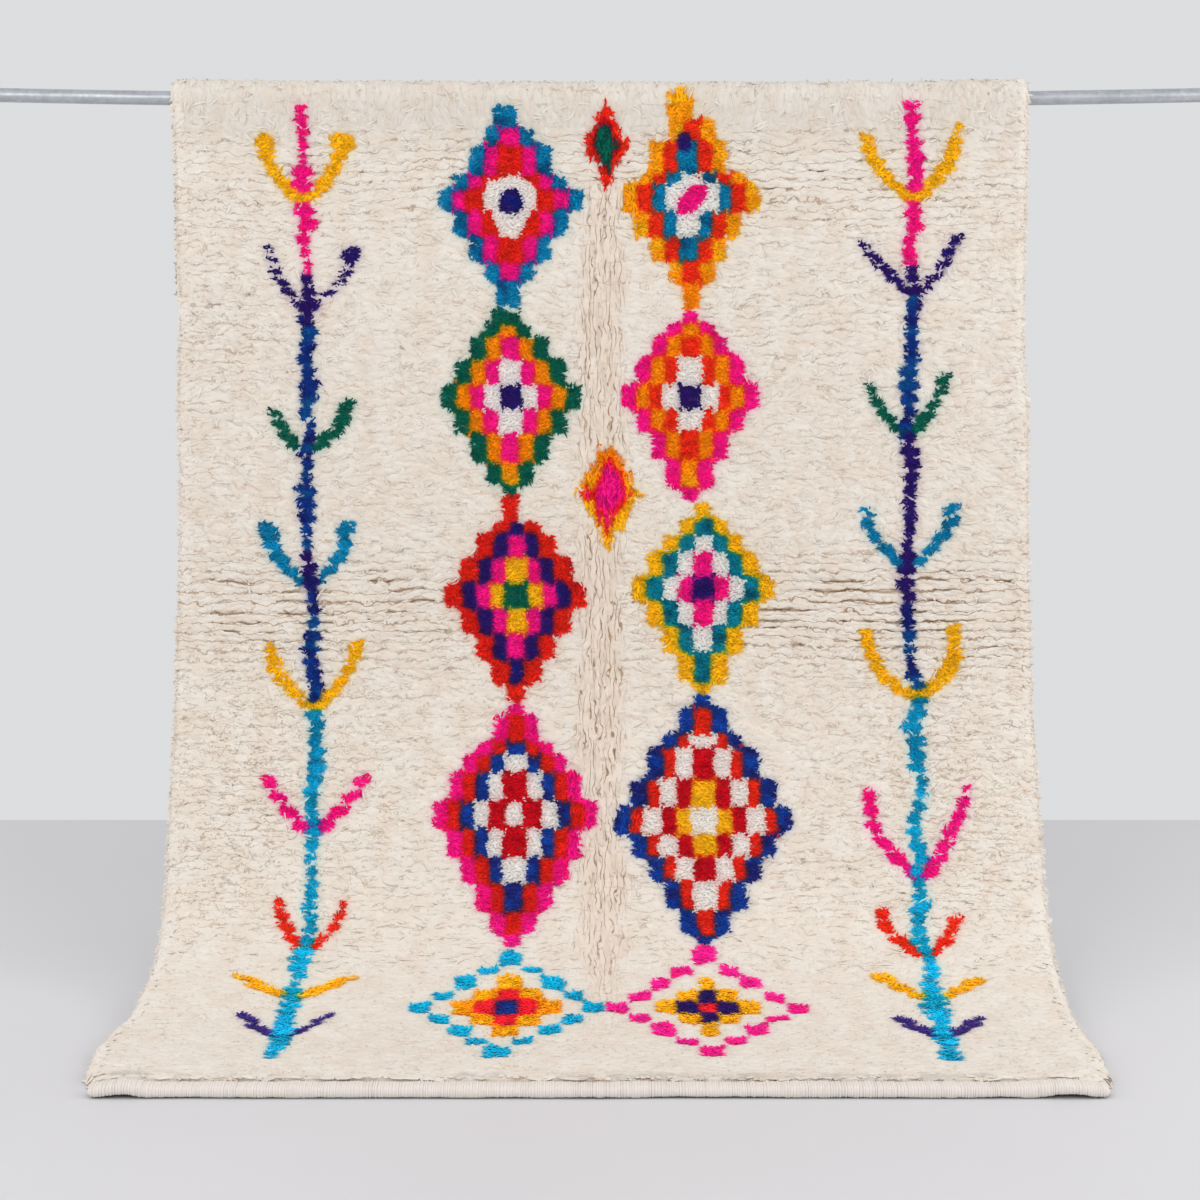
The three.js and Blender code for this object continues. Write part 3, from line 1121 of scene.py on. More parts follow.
@dataclass(frozen=True)
class HemFinish:
    """The hem's close ribs of pale wool, with painted shade in the grooves and a painted contact shadow
    under the roll.
    """

    low: tuple = linear(222, 211, 201)
    high: tuple = linear(246, 239, 231)
    blush: tuple = linear(236, 222, 212)
    deep: tuple = linear(60, 51, 44)

    def make(self, shared: SharedGroups) -> bpy.types.Material:
        """Makes the material from the shared groups."""
        coat = Coat("hem_wool")
        ribs = coat.add("Group", node_tree=shared.ribs)
        fibres = coat.add("Group", {"Strand width": 0.0009, "Strand length": 0.006}, node_tree=shared.fibres)
        shade = coat.add("Attribute", attribute_name="shade")
        colour = coat.blend(ribs["Shade"], self.low, self.high)
        colour = coat.blend(coat.product(fibres["Shade"], 0.25), colour, self.blush)
        # Painted shade: the deep colour where the shade attribute is low, under the roll and in the grooves.
        colour = coat.blend(shade["Fac"], self.deep, colour)
        height = coat.plus(ribs["Height"], (0.3, fibres["Height"]))
        bump = coat.bump(0.60, 0.0012, height)
        return coat.lay_on({"Base Color": colour, "Roughness": 0.9, "Sheen Weight": 0.2, "Normal": bump})


@dataclass(frozen=True)
class WeaveFinish:
    """The ground's back: rows of small knots between wefts."""

    knot_width: float = 0.0085
    row_height: float = 0.0095
    weft: tuple = linear(186, 170, 146)
    knot: tuple = linear(232, 222, 204)
    worn: tuple = linear(214, 200, 178)

    def make(self, shared: SharedGroups) -> bpy.types.Material:
        """Makes the material from the shared groups."""
        coat = Coat("ground_weave")
        place = coat.layer()
        wide, long, _ = coat.parts(place)
        stray = coat.noise(place, 60.0, 3.0)
        waves = []
        for part, size, amount in ((wide, self.knot_width, 0.7), (long, self.row_height, 0.5)):
            turns = coat.plus(coat.maths("DIVIDE", part, size), (amount, stray))
            waves.append(coat.maths("ABSOLUTE", coat.maths("SINE", coat.product(turns, math.pi))))
        height = coat.product(*waves)
        fibres = coat.add("Group", {"Strand width": 0.002, "Strand length": 0.001}, node_tree=shared.fibres)
        colour = coat.blend(coat.product(stray, 0.5), coat.blend(height, self.weft, self.knot), self.worn)
        relief = coat.plus(height, (0.2, fibres["Height"]))
        bump = coat.bump(0.8, 0.0016, relief)
        return coat.lay_on({"Base Color": colour, "Roughness": 0.9, "Sheen Weight": 0.15, "Normal": bump})


@dataclass(frozen=True)
class ZincFinish:
    """Dull zinc with a faint spangle, streaks and small scuffs."""

    dark: tuple = linear(150, 154, 160)
    light: tuple = linear(214, 217, 222)

    def make(self) -> bpy.types.Material:
        """Makes the material."""
        coat = Coat("zinc_tube")
        place = coat.layer()
        spangle = coat.add("TexVoronoi", {"Vector": place, "Scale": 130.0})["Color"]
        streaked = coat.add("VectorMath", {0: place, 1: (14.0, 120.0, 1.0)}, operation="MULTIPLY")[0]
        scuff = coat.noise(place, 45.0, 6.0)
        mottle = coat.plus(0.0, (0.3, spangle), (0.7, coat.noise(streaked, 1.0, 4.0)))
        return coat.lay_on({
            "Base Color": coat.blend(mottle, self.dark, self.light),
            "Roughness": coat.plus(0.26, (0.3, scuff)),
            "Metallic": 0.75,
            "Normal": coat.bump(0.15, 0.0004, scuff),
        })


@dataclass(frozen=True)
class FloorFinish:
    """Pale, faintly clouded floor paint."""

    dark: tuple = linear(210, 209, 211)
    light: tuple = linear(218, 217, 219)

    def make(self) -> bpy.types.Material:
        """Makes the material."""
        coat = Coat("floor paint")
        cloud = coat.noise(coat.add("TexCoord")["Object"], 1.3, 4.0)
        colour = coat.blend(cloud, self.dark, self.light)
        return coat.lay_on({"Base Color": colour, "Roughness": 0.55, "Specular IOR Level": 0.2})


class Dyehouse:
    """Makes and keeps the shared groups and the material of every wool."""

    FINISHES = (
        WoolFinish(IVORY, linear(234, 226, 215), linear(198, 168, 136), linear(230, 218, 204), gloss=0.25,
                   sheen=0.12, fibre_shade=0.06, strand=(0.0021, 0.016), pale_from=0.62),
        WoolFinish(WHITE, linear(240, 236, 230), linear(214, 203, 193), linear(238, 230, 224),
                   fibre_shade=0.06),
        WoolFinish(PINK, linear(255, 22, 138), linear(190, 6, 82), linear(250, 8, 96)),
        WoolFinish(CRIMSON, linear(202, 8, 28), linear(130, 4, 14), linear(222, 14, 26)),
        WoolFinish(VERMILION, linear(250, 48, 22), linear(180, 18, 10), linear(232, 20, 26)),
        WoolFinish(MARIGOLD, linear(255, 188, 22), linear(232, 146, 8), linear(255, 170, 12)),
        WoolFinish(TURQUOISE, linear(14, 188, 228), linear(4, 104, 150), linear(8, 152, 204)),
        WoolFinish(ROYAL, linear(20, 64, 158), linear(8, 24, 88), linear(16, 38, 130)),
        WoolFinish(INDIGO, linear(46, 22, 104), linear(20, 10, 52), linear(26, 24, 108)),
        WoolFinish(GREEN, linear(6, 96, 76), linear(2, 48, 40), linear(4, 76, 70)),
    )

    def __init__(self) -> None:
        """Makes the groups, and a material for each wool."""
        self.shared = SharedGroups()
        self.materials = {finish.dye: finish.make(self.shared) for finish in self.FINISHES}
        self.colours = {finish.dye: finish.colour for finish in self.FINISHES}


class DyeMap:
    """The chart read once on a fine grid, with how its dyes run into one another and into the ivory."""

    CELL = 0.0025
    FIRST_ALONG = -0.01
    LAST_ALONG = 2.03
    SIDE = 0.70
    HALO_DEPTH = 0.25
    PATCHES = Unevenness(71)

    def __init__(self, chart: Chart, colours: dict) -> None:
        """Reads the chart.

        Args:
            chart: The motifs.
            colours: Each wool's colour.
        """
        along = np.arange(self.FIRST_ALONG, self.LAST_ALONG, self.CELL)
        across = np.arange(-self.SIDE, self.SIDE, self.CELL)
        along, across = np.meshgrid(along, across, indexing="ij")
        self.numbers = chart.dye_numbers(along, across)
        colour = np.array([colours[dye][:3] for dye in DYES])[self.numbers]
        for number, dye in enumerate(DYES):
            own = self.numbers == number
            colour[own] *= self.tint_with_painted_light(dye, along[own], across[own])
        self.runs = self.spread(colour, 1)
        self.halos = self.spread(colour, 3)
        ivory = np.array(colours[IVORY][:3])
        self.halos[..., :3] = ivory * self.halos[..., :3] ** self.HALO_DEPTH
        self.dyed = self.blurred((self.numbers != IVORY_NUMBER).astype(float), 2)
        self.slopes = np.gradient(self.dyed)

    @staticmethod
    def tint_with_painted_light(dye: Dye, along: Array, across: Array) -> Array:
        """How one dye's colour changes over the cloth: a warmer yellow above, a deeper blue above, lighter
        on the floor, partly painted light.

        Args:
            dye: The dye.
            along: Places along the cloth.
            across: Places across.

        Returns:
            A tint for each place.
        """
        patch = DyeMap.PATCHES.rough(across / 0.024, along / 0.020)
        knot = DyeMap.PATCHES.at(across / 0.060 + 9, along / 0.016)
        middle = np.abs(across) < 0.38
        stem = ~middle
        right = middle * (across > 0)
        left = middle * (across < 0)
        orange_from = ease(along, 0.30, 0.36)
        # Turquoise darker on the hanging cloth and lighter on the floor: partly its own deeper blue, partly
        # painted light on the floor part.
        deep = 1 - ease(along, 0.90, 1.70)
        turns = {
            MARIGOLD: (
                (orange_from * (1 - ease(along, 0.66, 0.74)) * middle, 0.98, 0.52, 0.30),
                (right * (1 - orange_from) * ease(patch, -0.55, 0.05), 1.0, 0.72, 0.50),
                (left * ease(along, 1.4, 1.5) * ease(patch, -0.30, 0.20), 1.0, 0.72, 0.60),
            ),
            TURQUOISE: (
                (deep, 0.60, 0.48, 0.60),
                (ease(along, 0.70, 0.74) * (1 - ease(along, 1.06, 1.10)) * middle, 1.0, 0.95, 0.70),
                (ease(patch, 0.0, 0.5) * middle * deep, 0.9, 0.42, 0.52),
                (np.clip(knot, -0.6, 1) * stem, 1.45, 1.45, 1.45),
            ),
            ROYAL: (
                (ease(patch, 0.0, 0.35) * middle, 2.0, 0.40, 0.52),
                (ease(-knot, 0.15, 0.5) * stem, 1.5, 0.38, 0.56),
                (ease(knot, 0.10, 0.45) * stem, 0.8, 2.2, 1.2),
                (stem, 0.75, 0.75, 0.75),
            ),
            INDIGO: (
                (ease(patch, 0.10, 0.40) * left, 0.35, 1.5, 1.25),
                (ease(along, 1.60, 1.70) * stem, 2.3, 3.4, 1.7),
            ),
            VERMILION: ((left + 0.6 * right * (along > 1.0), 0.86, 0.62, 1.0),),
            CRIMSON: ((ease(along, 1.5, 1.6), 1.65, 6.0, 3.0),),
            PINK: ((ease(along, 1.45, 1.60), 1.0, 2.2, 1.35),),
        }
        tint = np.ones((len(along), 3))
        for share, *colour in turns.get(dye, ()):
            tint = tint * (1 + share[:, None] * (np.array(colour) - 1))
        return tint

    def spread(self, colour: Array, cells: int) -> Array:
        """Mixes the dyes over some cells round each place, as dyes darken one another, with their share."""
        runs = ~np.isin(self.numbers, [IVORY_NUMBER, DYES.index(WHITE)])[..., None]
        near = self.blurred(self.blurred(runs.astype(float), cells), cells)
        mixed = self.blurred(self.blurred(np.log(np.clip(colour, 1e-3, 1)) * runs, cells), cells)
        return np.concatenate([np.exp(mixed / np.maximum(near, 1e-6)), near], axis=-1)

    @staticmethod
    def blurred(values: Array, cells: int) -> Array:
        """Averages a grid over its neighbours, both ways."""
        for axis in (0, 1):
            pad = [(0, 0)] * values.ndim
            pad[axis] = (cells, cells)
            wide = np.pad(values, pad, mode="edge")
            size = values.shape[axis]
            shifts = [range(shift, shift + size) for shift in range(2 * cells + 1)]
            values = sum(np.take(wide, shift, axis=axis) for shift in shifts) / len(shifts)
        return values

    def cell(self, along: Array, across: Array) -> tuple[Array, Array]:
        """Row and column of the grid at each place."""
        row = np.round((along - self.FIRST_ALONG) / self.CELL).astype(int)
        column = np.round((across + self.SIDE) / self.CELL).astype(int)
        rows, columns = self.numbers.shape
        return np.clip(row, 0, rows - 1), np.clip(column, 0, columns - 1)

    def number(self, along: Array, across: Array) -> Array:
        """Number of the wool at each place."""
        return self.numbers[self.cell(along, across)]

    def run(self, along: Array, across: Array, strength: float, pale: bool) -> Array:
        """The colour that runs into each place, and how much of it.

        Args:
            along: Places along the cloth.
            across: Places across.
            strength: How strongly it runs.
            pale: Whether the wool there is undyed.

        Returns:
            Three parts of colour and a share for each place.
        """
        run = (self.halos if pale else self.runs)[self.cell(along, across)].copy()
        run[..., 3] *= strength
        return run

    def outward(self, along: Array, across: Array) -> tuple[Array, Array]:
        """The direction out of the motif at each place, and how near the motif's rim the place lies."""
        down, aside = (slope[self.cell(along, across)] for slope in self.slopes)
        return np.arctan2(-aside, -down), ease(np.hypot(down, aside), 0.04, 0.14)


@dataclass(frozen=True)
class LockShape:
    """How a lock of wool is formed from its root, at share 0, to its tip, at share 1.

    widths are shares of the lock's full width, heights are shares of its rise, and lights are how pale
    its crown is painted, lower at the root for painted shade deep in the pile.
    its crown is.
    """

    shares: tuple
    widths: tuple
    heights: tuple
    lights: tuple
    tip_height: float


LONG_LOCK = LockShape((0.0, 0.25, 0.52, 0.80), (0.30, 0.90, 1.0, 0.72), (-1.4, 0.4, 1.0, 0.5),
                      (0.7, 1.0, 1.0, 1.0), -0.8)
SHORT_LOCK = LockShape((0.0, 0.32, 0.70), (0.55, 1.0, 0.80), (-1.6, 0.7, 1.0), (0.90, 1.0, 1.0), 0.1)
TUFT = LockShape((0.0, 0.5), (0.6, 1.0), (-1.4, 1.0), (0.90, 1.0), 0.2)


@dataclass
class Locks:
    """Locks of wool to be laid on the cloth, one to each place in its arrays.

    direction is each lock's angle from straight down the cloth. edges are how pale its two sides are
    painted, low where painted shade lies along a side, the left one of its direction first.
    """

    along: Array
    across: Array
    direction: Array
    length: Array
    width: Array
    ridge: Array
    rise: Array
    bend: Array
    crown: Array
    edges: Array
    tone: Array
    lift: Array

    def pick(self, keep: Array) -> "Locks":
        """The locks where keep is true."""
        return Locks(*(getattr(self, name)[keep] for name in self.__dataclass_fields__))

    def lay(
        self, parts: MeshParts, drape: Drape, shape: LockShape, surface: object = None,
        dyes: DyeMap | None = None, strength: float = 0.5, pale: bool = True,
    ) -> None:
        """Adds the locks to a mesh.

        Args:
            parts: Where they go.
            drape: The cloth's shape.
            shape: How each lock is formed.
            surface: Gives the pile's top at places along and across; without it lift alone counts.
            dyes: The chart whose dyes run into the locks, if any do.
            strength: How strongly they run.
            pale: Whether the locks are undyed.
        """
        middle_along = self.along - 0.5 * self.length * np.cos(self.direction)
        middle_across = self.across - 0.5 * self.length * np.sin(self.direction)
        points, lays, shades = [], [], []
        before = 0.0
        tip = (1.0, 0.0, shape.tip_height, 1.0)
        for share, wide, high, light in (*zip(shape.shares, shape.widths, shape.heights, shape.lights), tip):
            angle = self.direction + self.bend * (share + before - 1)
            step = (share - before) * self.length
            middle_along = middle_along + step * np.cos(angle)
            middle_across = middle_across + step * np.sin(angle)
            before = share
            top = self.lift + self.rise * high
            if surface is not None:
                top = top + surface(middle_along, middle_across)
            mean = (self.crown + self.edges.mean(axis=1)) / 2
            rims = ((0.0, mean),) if share == 1 else (
                (-0.5, self.edges[:, 0]), (0.0, self.crown), (0.5, self.edges[:, 1]))
            for side, pale_there in rims:
                out = side * self.width * wide
                along, across = middle_along - out * np.sin(angle), middle_across + out * np.cos(angle)
                points.append((along, across, top - abs(2 * side) * self.ridge))
                lays.append((out + 3.1 * self.across, share * self.length + 1.7 * self.along))
                shades.append(light * pale_there)
        spots = np.stack([np.stack(point, axis=-1) for point in points], axis=1)
        placed = drape.place(spots[..., 0], spots[..., 1], np.maximum(spots[..., 2], 0.0015))
        lay = np.stack([np.stack(entry, axis=-1) for entry in lays], axis=1)
        light = np.clip(np.stack(shades, axis=1), 0, 1)
        size = len(points)
        base = (np.arange(len(self.along)) * size)[:, None, None]
        quads = []
        for station in range(len(shape.shares) - 1):
            low = 3 * station
            quads += [(low, low + 3, low + 4, low + 1), (low + 1, low + 4, low + 5, low + 2)]
        tips = [(size - 4, size - 1, size - 3), (size - 3, size - 1, size - 2)]
        first = parts.count
        tone = np.repeat(self.tone[:, None, :], size, axis=1)
        run = None if dyes is None else dyes.run(spots[..., 0], spots[..., 1], strength, pale)
        quads = (base + np.array(quads)[None]).reshape(-1, 4)
        parts.add(placed, quads, lay, light, tone, run, spots[..., :2])
        parts.more_faces((base + np.array(tips)[None]).reshape(-1, 3), first)


@dataclass
class Rug:
    """The rug: its pile in bands and dyes, its ground weave and its two rolled hems."""

    drape: Drape
    chart: Chart
    partings: Partings
    dyehouse: Dyehouse
    bed_column: float = 0.0092
    bed_depth: float = 0.0018
    edge_inset: float = 0.006
    edge_shaded_share: float = 0.24
    row_spacing: float = 0.0155
    lock_length: float = 0.032
    lock_width: float = 0.0155
    crease_gap: float = 0.0085
    tuft_across: float = 0.0038
    tuft_along: float = 0.0041
    tuft_length: float = 0.0118
    tuft_width: float = 0.0036
    halo: float = 0.90
    loose_count: int = 4200
    fuzz_count: int = 620
    edge_step: float = 0.0050
    edge_rows: tuple = ((0.017, 0.023, 0.0084), (0.011, 0.019, 0.0070), (0.0065, 0.016, 0.0058))
    hem_depth: float = 0.0178
    hem_length: float = 0.038
    hem_reach: float = 0.020
    hem_around: int = 14
    rib_pitch: float = 0.0042
    weave_thickness: float = 0.0024
    weave_inset: float = 0.010
    weave_columns: int = 30
    weave_rows: int = 96
    knot_cell: float = 0.0092
    # The walls' rows: how far out, share of the lift, and painted shade, darker further down.
    end_wall: tuple = ((0.0, 1.0, 0.85), (0.0012, 0.90, 0.65), (0.0024, 0.35, 0.50), (0.001, 0.1, 0.45))
    side_wall: tuple = ((0.0, 1.0, 0.9), (0.0016, 0.7, 0.85), (0.0018, 0.4, 0.8), (-0.002, 0.1, 0.6))
    beds: tuple = (("bed_back", -0.372, 0.0), ("bed_front", 0.0, 2.058))
    bands: tuple = (
        ("ivory_back", -0.50, -0.05), ("ivory_shoulder", -0.05, 0.55),
        ("ivory_body", 0.55, 1.25), ("ivory_apron", 1.25, 2.10),
    )

    def __post_init__(self) -> None:
        """Sets up the unevenness of the pile and reads the chart."""
        self.uneven = Unevenness(31)
        self.fine = Unevenness(32)
        self.dyes = DyeMap(self.chart, self.dyehouse.colours)

    def surface(self, along: Array, across: Array) -> Array:
        """Lift of the pile's top above the cloth's back."""
        lift = self.drape.pile_depth - 0.0022 + 0.0013 * self.uneven.at(across / 0.11, along / 0.09)
        lift = lift + 0.0012 * self.uneven.at(across / 0.045 + 5, along / 0.034)
        lift = lift + 0.0020 * ease(along, 1.45, 1.65) * self.uneven.at(across / 0.060 + 90, along / 0.030)
        low = ease(along, 0.98, 1.12) * (1 - ease(along, 1.42, 1.56))
        lift = lift + 0.0024 * low * self.uneven.at(across / 0.026 + 40, along / 0.012)
        lift = lift - 0.0016 * self.dyes.dyed[self.dyes.cell(along, across)]
        return lift - self.edge_drop(along, across)

    def inward(self, along: Array, across: Array) -> Array:
        """How far in from the nearer long edge of the bed a place lies."""
        from_edges = np.minimum(across + self.drape.left(along), self.drape.right(along) - across)
        return from_edges - self.edge_inset

    def edge_drop(self, along: Array, across: Array) -> Array:
        """How far the pile's top falls away near the long edges."""
        share = 1 - np.clip(self.inward(along, across) / 0.016, 0, 1)
        return (self.drape.pile_depth - 0.006) * (1 - np.sqrt(np.clip(1 - share * share, 0, 1)))

    def sides(self, along: float, inset: float) -> tuple[float, float]:
        """Places across of the two long edges at a place along, each moved in by the inset."""
        left, right = (float(edge(np.array(along))) for edge in (self.drape.left, self.drape.right))
        return inset - left, right - inset

    def is_ivory(self, along: Array, across: Array) -> Array:
        """True where no motif lies."""
        return self.dyes.number(along, across) == IVORY_NUMBER

    def bed(self, name: str, low: float, high: float) -> bpy.types.Object:
        """The bed of short wool under the locks, opened along the rows of knots, its slits and crease in
        painted shade.

        Args:
            name: The piece's name.
            low: Where it starts along the cloth.
            high: Where it ends.

        Returns:
            The bed's mesh object.
        """
        partings = self.partings
        first, last = (int(np.argmin(np.abs(partings.lines - place))) for place in (low, high))
        shares = np.linspace(0, 1, int(1.5 / self.bed_column))
        rows = []
        for number in range(first, last + 1):
            left, right = self.sides(partings.lines[number], self.edge_inset)
            across = left + (right - left) * shares
            above = partings.line(number, across)
            for station in (0.0,) if number == last else (0.0, 0.30, 0.75):
                along = above
                if station:
                    along = along + station * (partings.line(number + 1, across) - along)
                opening = partings.opening(number, along, across)
                opening = opening * (1 - partings.fold_share(along, across))
                opening = opening * ease(self.inward(along, across), 0.006, 0.026)
                slit = opening if station == 0 else 0 * across
                # The slits are painted in shade, darker the more they open.
                rows.append((along, across, -self.bed_depth - 0.0055 * slit, 0.80 - 0.72 * slit))
        along, across, lift, shade = np.array(rows).transpose(1, 0, 2)
        crease = partings.crease_share(along, across)
        crease = crease * (1 - 0.8 * ease(along, 1.35, 1.95))
        lift = lift - 0.0008 * crease
        # The crease is painted a little darker, as shade.
        shade = np.minimum(shade, 1 - 0.25 * crease)
        dyed = self.dyes.dyed[self.dyes.cell(along, across)]
        shade = shade * (1 - dyed) + 0.9 * dyed
        lift = np.maximum(self.surface(along, across) + lift * (1 - 0.3 * dyed), 0.003)
        under = self.dyes.run(along, across, 1.0, False)
        # The dyes under the tufts are painted darker, as shade under the tufts.
        under[..., :3] *= 0.8
        under[..., 3] = ease(under[..., 3], 0.2, 0.5)
        run = np.where(dyed[..., None] > 0.5, under, self.dyes.run(along, across, self.halo, True))
        parts = MeshParts()
        lay = np.stack([across, along], axis=-1)
        # The bed's lightness carries the painted shade below the fold and beside the front hem.
        tone = self.grey(0.985 - self.painted_shade(along.ravel(), across.ravel()))
        parts.add(self.drape.place(along, across, lift), grid_faces(*along.shape), lay,
                  np.clip(shade, 0, 1), tone, run, lay[..., ::-1])
        for edge, outward in ((0, -1), (-1, 1)):
            rim = (along[:, edge], across[:, edge], lift[:, edge])
            self.wall(parts, rim, outward, self.side_wall, True)
        for edge, outward in ((0, -1), (-1, 1)):
            if abs(along[edge].mean()) > 0.1:
                self.wall(parts, (along[edge], across[edge], lift[edge]), outward, self.end_wall, False)
        return parts.make(name, partings)

    def wall(self, parts: MeshParts, rim: tuple, outward: int, rows: tuple, sideways: bool) -> None:
        """Closes one side of the bed downwards.

        Args:
            parts: Where it goes.
            rim: Where the bed's rim lies along and across, and its lift.
            outward: -1 or 1, the way out of the bed.
            rows: How far out each row of the wall lies, its share of the rim's lift, and its painted shade,
                darker down the wall.
            sideways: Whether it is a long side and not an end.
        """
        out, share, light = np.array(rows).T[:, :, None]
        along, across, lift = rim
        along, across, lift, shade = np.broadcast_arrays(
            along + (0 if sideways else outward) * out, across + (outward if sideways else 0) * out,
            lift * share, light)
        if sideways:
            along, across, lift, shade = along.T, across.T, lift.T, shade.T
        lay = (along, across + lift) if sideways else (across, along + lift)
        faces = grid_faces(*along.shape)
        parts.add(self.drape.place(along, across, lift), faces if outward > 0 else faces[:, ::-1],
                  np.stack(lay, axis=-1), shade)

    def ivory_locks(
        self, along: Array, across: Array, direction: Array, length: Array, width: Array,
        opening: Array, random: Chance,
    ) -> Locks:
        """Locks of ivory wool, rounder, more deeply parted and with sides in painted shade where the pile
        opens.

        Args:
            along: Where each lock's middle lies along the cloth.
            across: Where it lies across.
            direction: Each lock's angle from straight down the cloth.
            length: Each lock's length.
            width: Each lock's width.
            opening: How far the pile opens at each lock, from 0 to 1.
            random: The source of chance.

        Returns:
            The locks, shortened beside the motifs and left out on them.
        """
        count = len(along)
        reach_along = 0.42 * length * np.cos(direction)
        reach_across = 0.42 * length * np.sin(direction)
        free = self.is_ivory(along + reach_along, across + reach_across)
        free &= self.is_ivory(along - reach_along, across - reach_across)
        length = np.where(free, length, 0.42 * length)
        inner = self.inward(along, across)
        sideways = np.abs(np.sin(direction)) * length / 2
        opening = opening * ease(inner, 0.006, 0.026)
        length = np.where(sideways > inner + 0.004, length * 0.7, length)
        # Painted shade: where the pile opens, and on a share of other locks, the sides are painted darker,
        # the lower side most, like a shadow under the lock.
        lower = np.clip(-2 * np.array([[-0.5, 0.5]]) * np.sin(direction)[:, None], -1, 1)
        calm = 1 - 0.65 * ease(along, 1.45, 1.75)
        edge_shaded = (random.random(count) < self.edge_shaded_share) * random.uniform(0.35, 1.0, count) * calm
        edge_shaded = edge_shaded * ease(inner, 0.004, 0.020)
        edge_shade = np.maximum(opening, 0.75 * edge_shaded)[:, None]
        dark = edge_shade * (0.66 + 0.34 * lower) * random.uniform(0.6, 1.1, (count, 2))
        edges = np.clip(0.85 - 0.95 * dark, 0, 1)
        locks = Locks(
            along=along,
            across=across,
            direction=direction,
            length=length,
            width=width * (1 - 0.34 * opening),
            ridge=(0.0031 - 0.0014 * edge_shaded * (1 - opening)) * random.uniform(0.9, 1.1, count),
            rise=(random.uniform(0.0005, 0.0013, count) + 0.0008 * opening) * calm,
            bend=random.normal(0, 0.45, count) * (1 - 0.6 * opening),
            crown=random.uniform(0.92, 1.0, count),
            edges=edges,
            # Random lightness, less the painted shade below the fold and beside the front hem.
            tone=self.grey(random.uniform(0.975, 1.0, count) - self.painted_shade(along, across)),
            lift=random.uniform(-0.0006, 0.0004, count) - 0.0004 * (1 - calm),
        )
        return locks.pick(self.is_ivory(along, across) & (inner > 0.001))

    def painted_shade(self, along: Array, across: Array) -> Array:
        """How much painted shade darkens the wool below the fold and, unevenly, beside the front hem; the
        fold's top is painted lighter.
        """
        fold = 0.080 * swell(along - 0.055, 0.085) - 0.05 * swell(along + 0.010, 0.030)
        uneven = np.clip(0.45 + 1.6 * self.uneven.at(across / 0.022, along / 0.05 + 7), 0, 1)
        return fold + 0.24 * uneven * swell(along - self.partings.end + 0.004, 0.026)

    @staticmethod
    def grey(light: Array) -> Array:
        """Tones without a tint, each as light as given."""
        return np.column_stack([np.ones((len(light), 3)), light])

    def row_locks(self, random: Chance) -> Locks:
        """Locks that lie across the cloth along the rows of knots, in order where the pile opens."""
        partings = self.partings
        found = []
        for number in range(len(partings.lines) - 1):
            for share, wide, phase in ((0.62, 1.0, 0.0), (0.29, 0.78, 0.5)):
                count = int(1.60 / self.row_spacing)
                across = (np.arange(count) + phase + 0.5 * (number % 2)) * self.row_spacing - 0.80
                across = across + random.uniform(-0.4, 0.4, count) * self.row_spacing
                found.append((np.full(count, number), across, np.full(count, share), np.full(count, wide)))
        number, across, share, wide = (np.concatenate(column) for column in zip(*found))
        count = len(number)
        here = partings.line(number, across)
        height = partings.line(number + 1, across) - here
        along = here + share * height
        opening = partings.opening(number + (share > 0.4), along, across)
        order = np.clip(1.25 * partings.region(along, across), 0.10, 1)
        along = along + random.uniform(-1, 1, count) * 0.0085 * (1 - order)
        slope = (partings.line(number, across + 0.012) - partings.line(number, across - 0.012)) / 0.024
        flow = 0.55 * self.uneven.at(across / 0.13 + 60, along / 0.13) * (1 - 0.8 * order)
        tilt = random.normal(0, 0.13 + 0.36 * (1 - order)) + flow
        side = np.where(random.random(count) < 0.5 + 0.45 * np.clip(across / 0.6, -1, 1), 1, -1)
        direction = side * (np.pi / 2 - tilt) - slope
        length = self.lock_length * random.uniform(0.65, 1.35, count)
        width = self.lock_width * wide * random.uniform(0.72, 1.18, count)
        locks = self.ivory_locks(along, across, direction, length, width, opening, random)
        crease = partings.crease_share(locks.along, locks.across)
        fold = partings.fold_share(locks.along, locks.across)
        return locks.pick(np.maximum(crease, fold) < random.uniform(0.35, 0.65, len(locks.along)))

    def crease_locks(self, random: Chance) -> Locks:
        """Upright locks in the crease down the middle, set like bricks so that their gaps meet in V's."""
        partings = self.partings
        spacing = 0.040
        rows = np.arange(partings.crease_from - 0.04, partings.crease_to + 0.02, spacing)
        columns = np.arange(-6, 7)
        row, column = every_pair(np.arange(len(rows)), columns)
        count = len(row)
        along = rows[row] + (0.5 * (column % 2) + random.uniform(-0.22, 0.22, count)) * spacing
        middle = partings.crease_across + 0.006 * partings.uneven.at(along / 0.25, 77.5)
        across = middle + self.crease_gap * (column + random.uniform(-0.16, 0.16, count))
        across = across + 0.0035 * self.uneven.at(along / 0.05, column * 3.3)
        direction = random.normal(0, 0.09, count) + 0.25 * self.uneven.at(along / 0.04, across / 0.02)
        length = random.uniform(0.038, 0.058, count)
        width = self.crease_gap * random.uniform(1.30, 1.75, count)
        locks = self.ivory_locks(along, across, direction, length, width, np.zeros(count), random)
        fade = 1 - 0.85 * ease(locks.along, 1.35, 1.95)
        size = len(locks.along)
        locks.ridge = 0.0030 - 0.0007 * fade * random.uniform(0.6, 1.2, size)
        # Painted shade along the sides of the crease's locks, fading towards the floor.
        locks.edges = 0.95 - fade[:, None] * random.uniform(0.0, 0.32, (size, 2))
        locks.bend = random.normal(0, 0.60, size)
        return locks.pick(partings.crease_share(locks.along, locks.across) > 0.35)

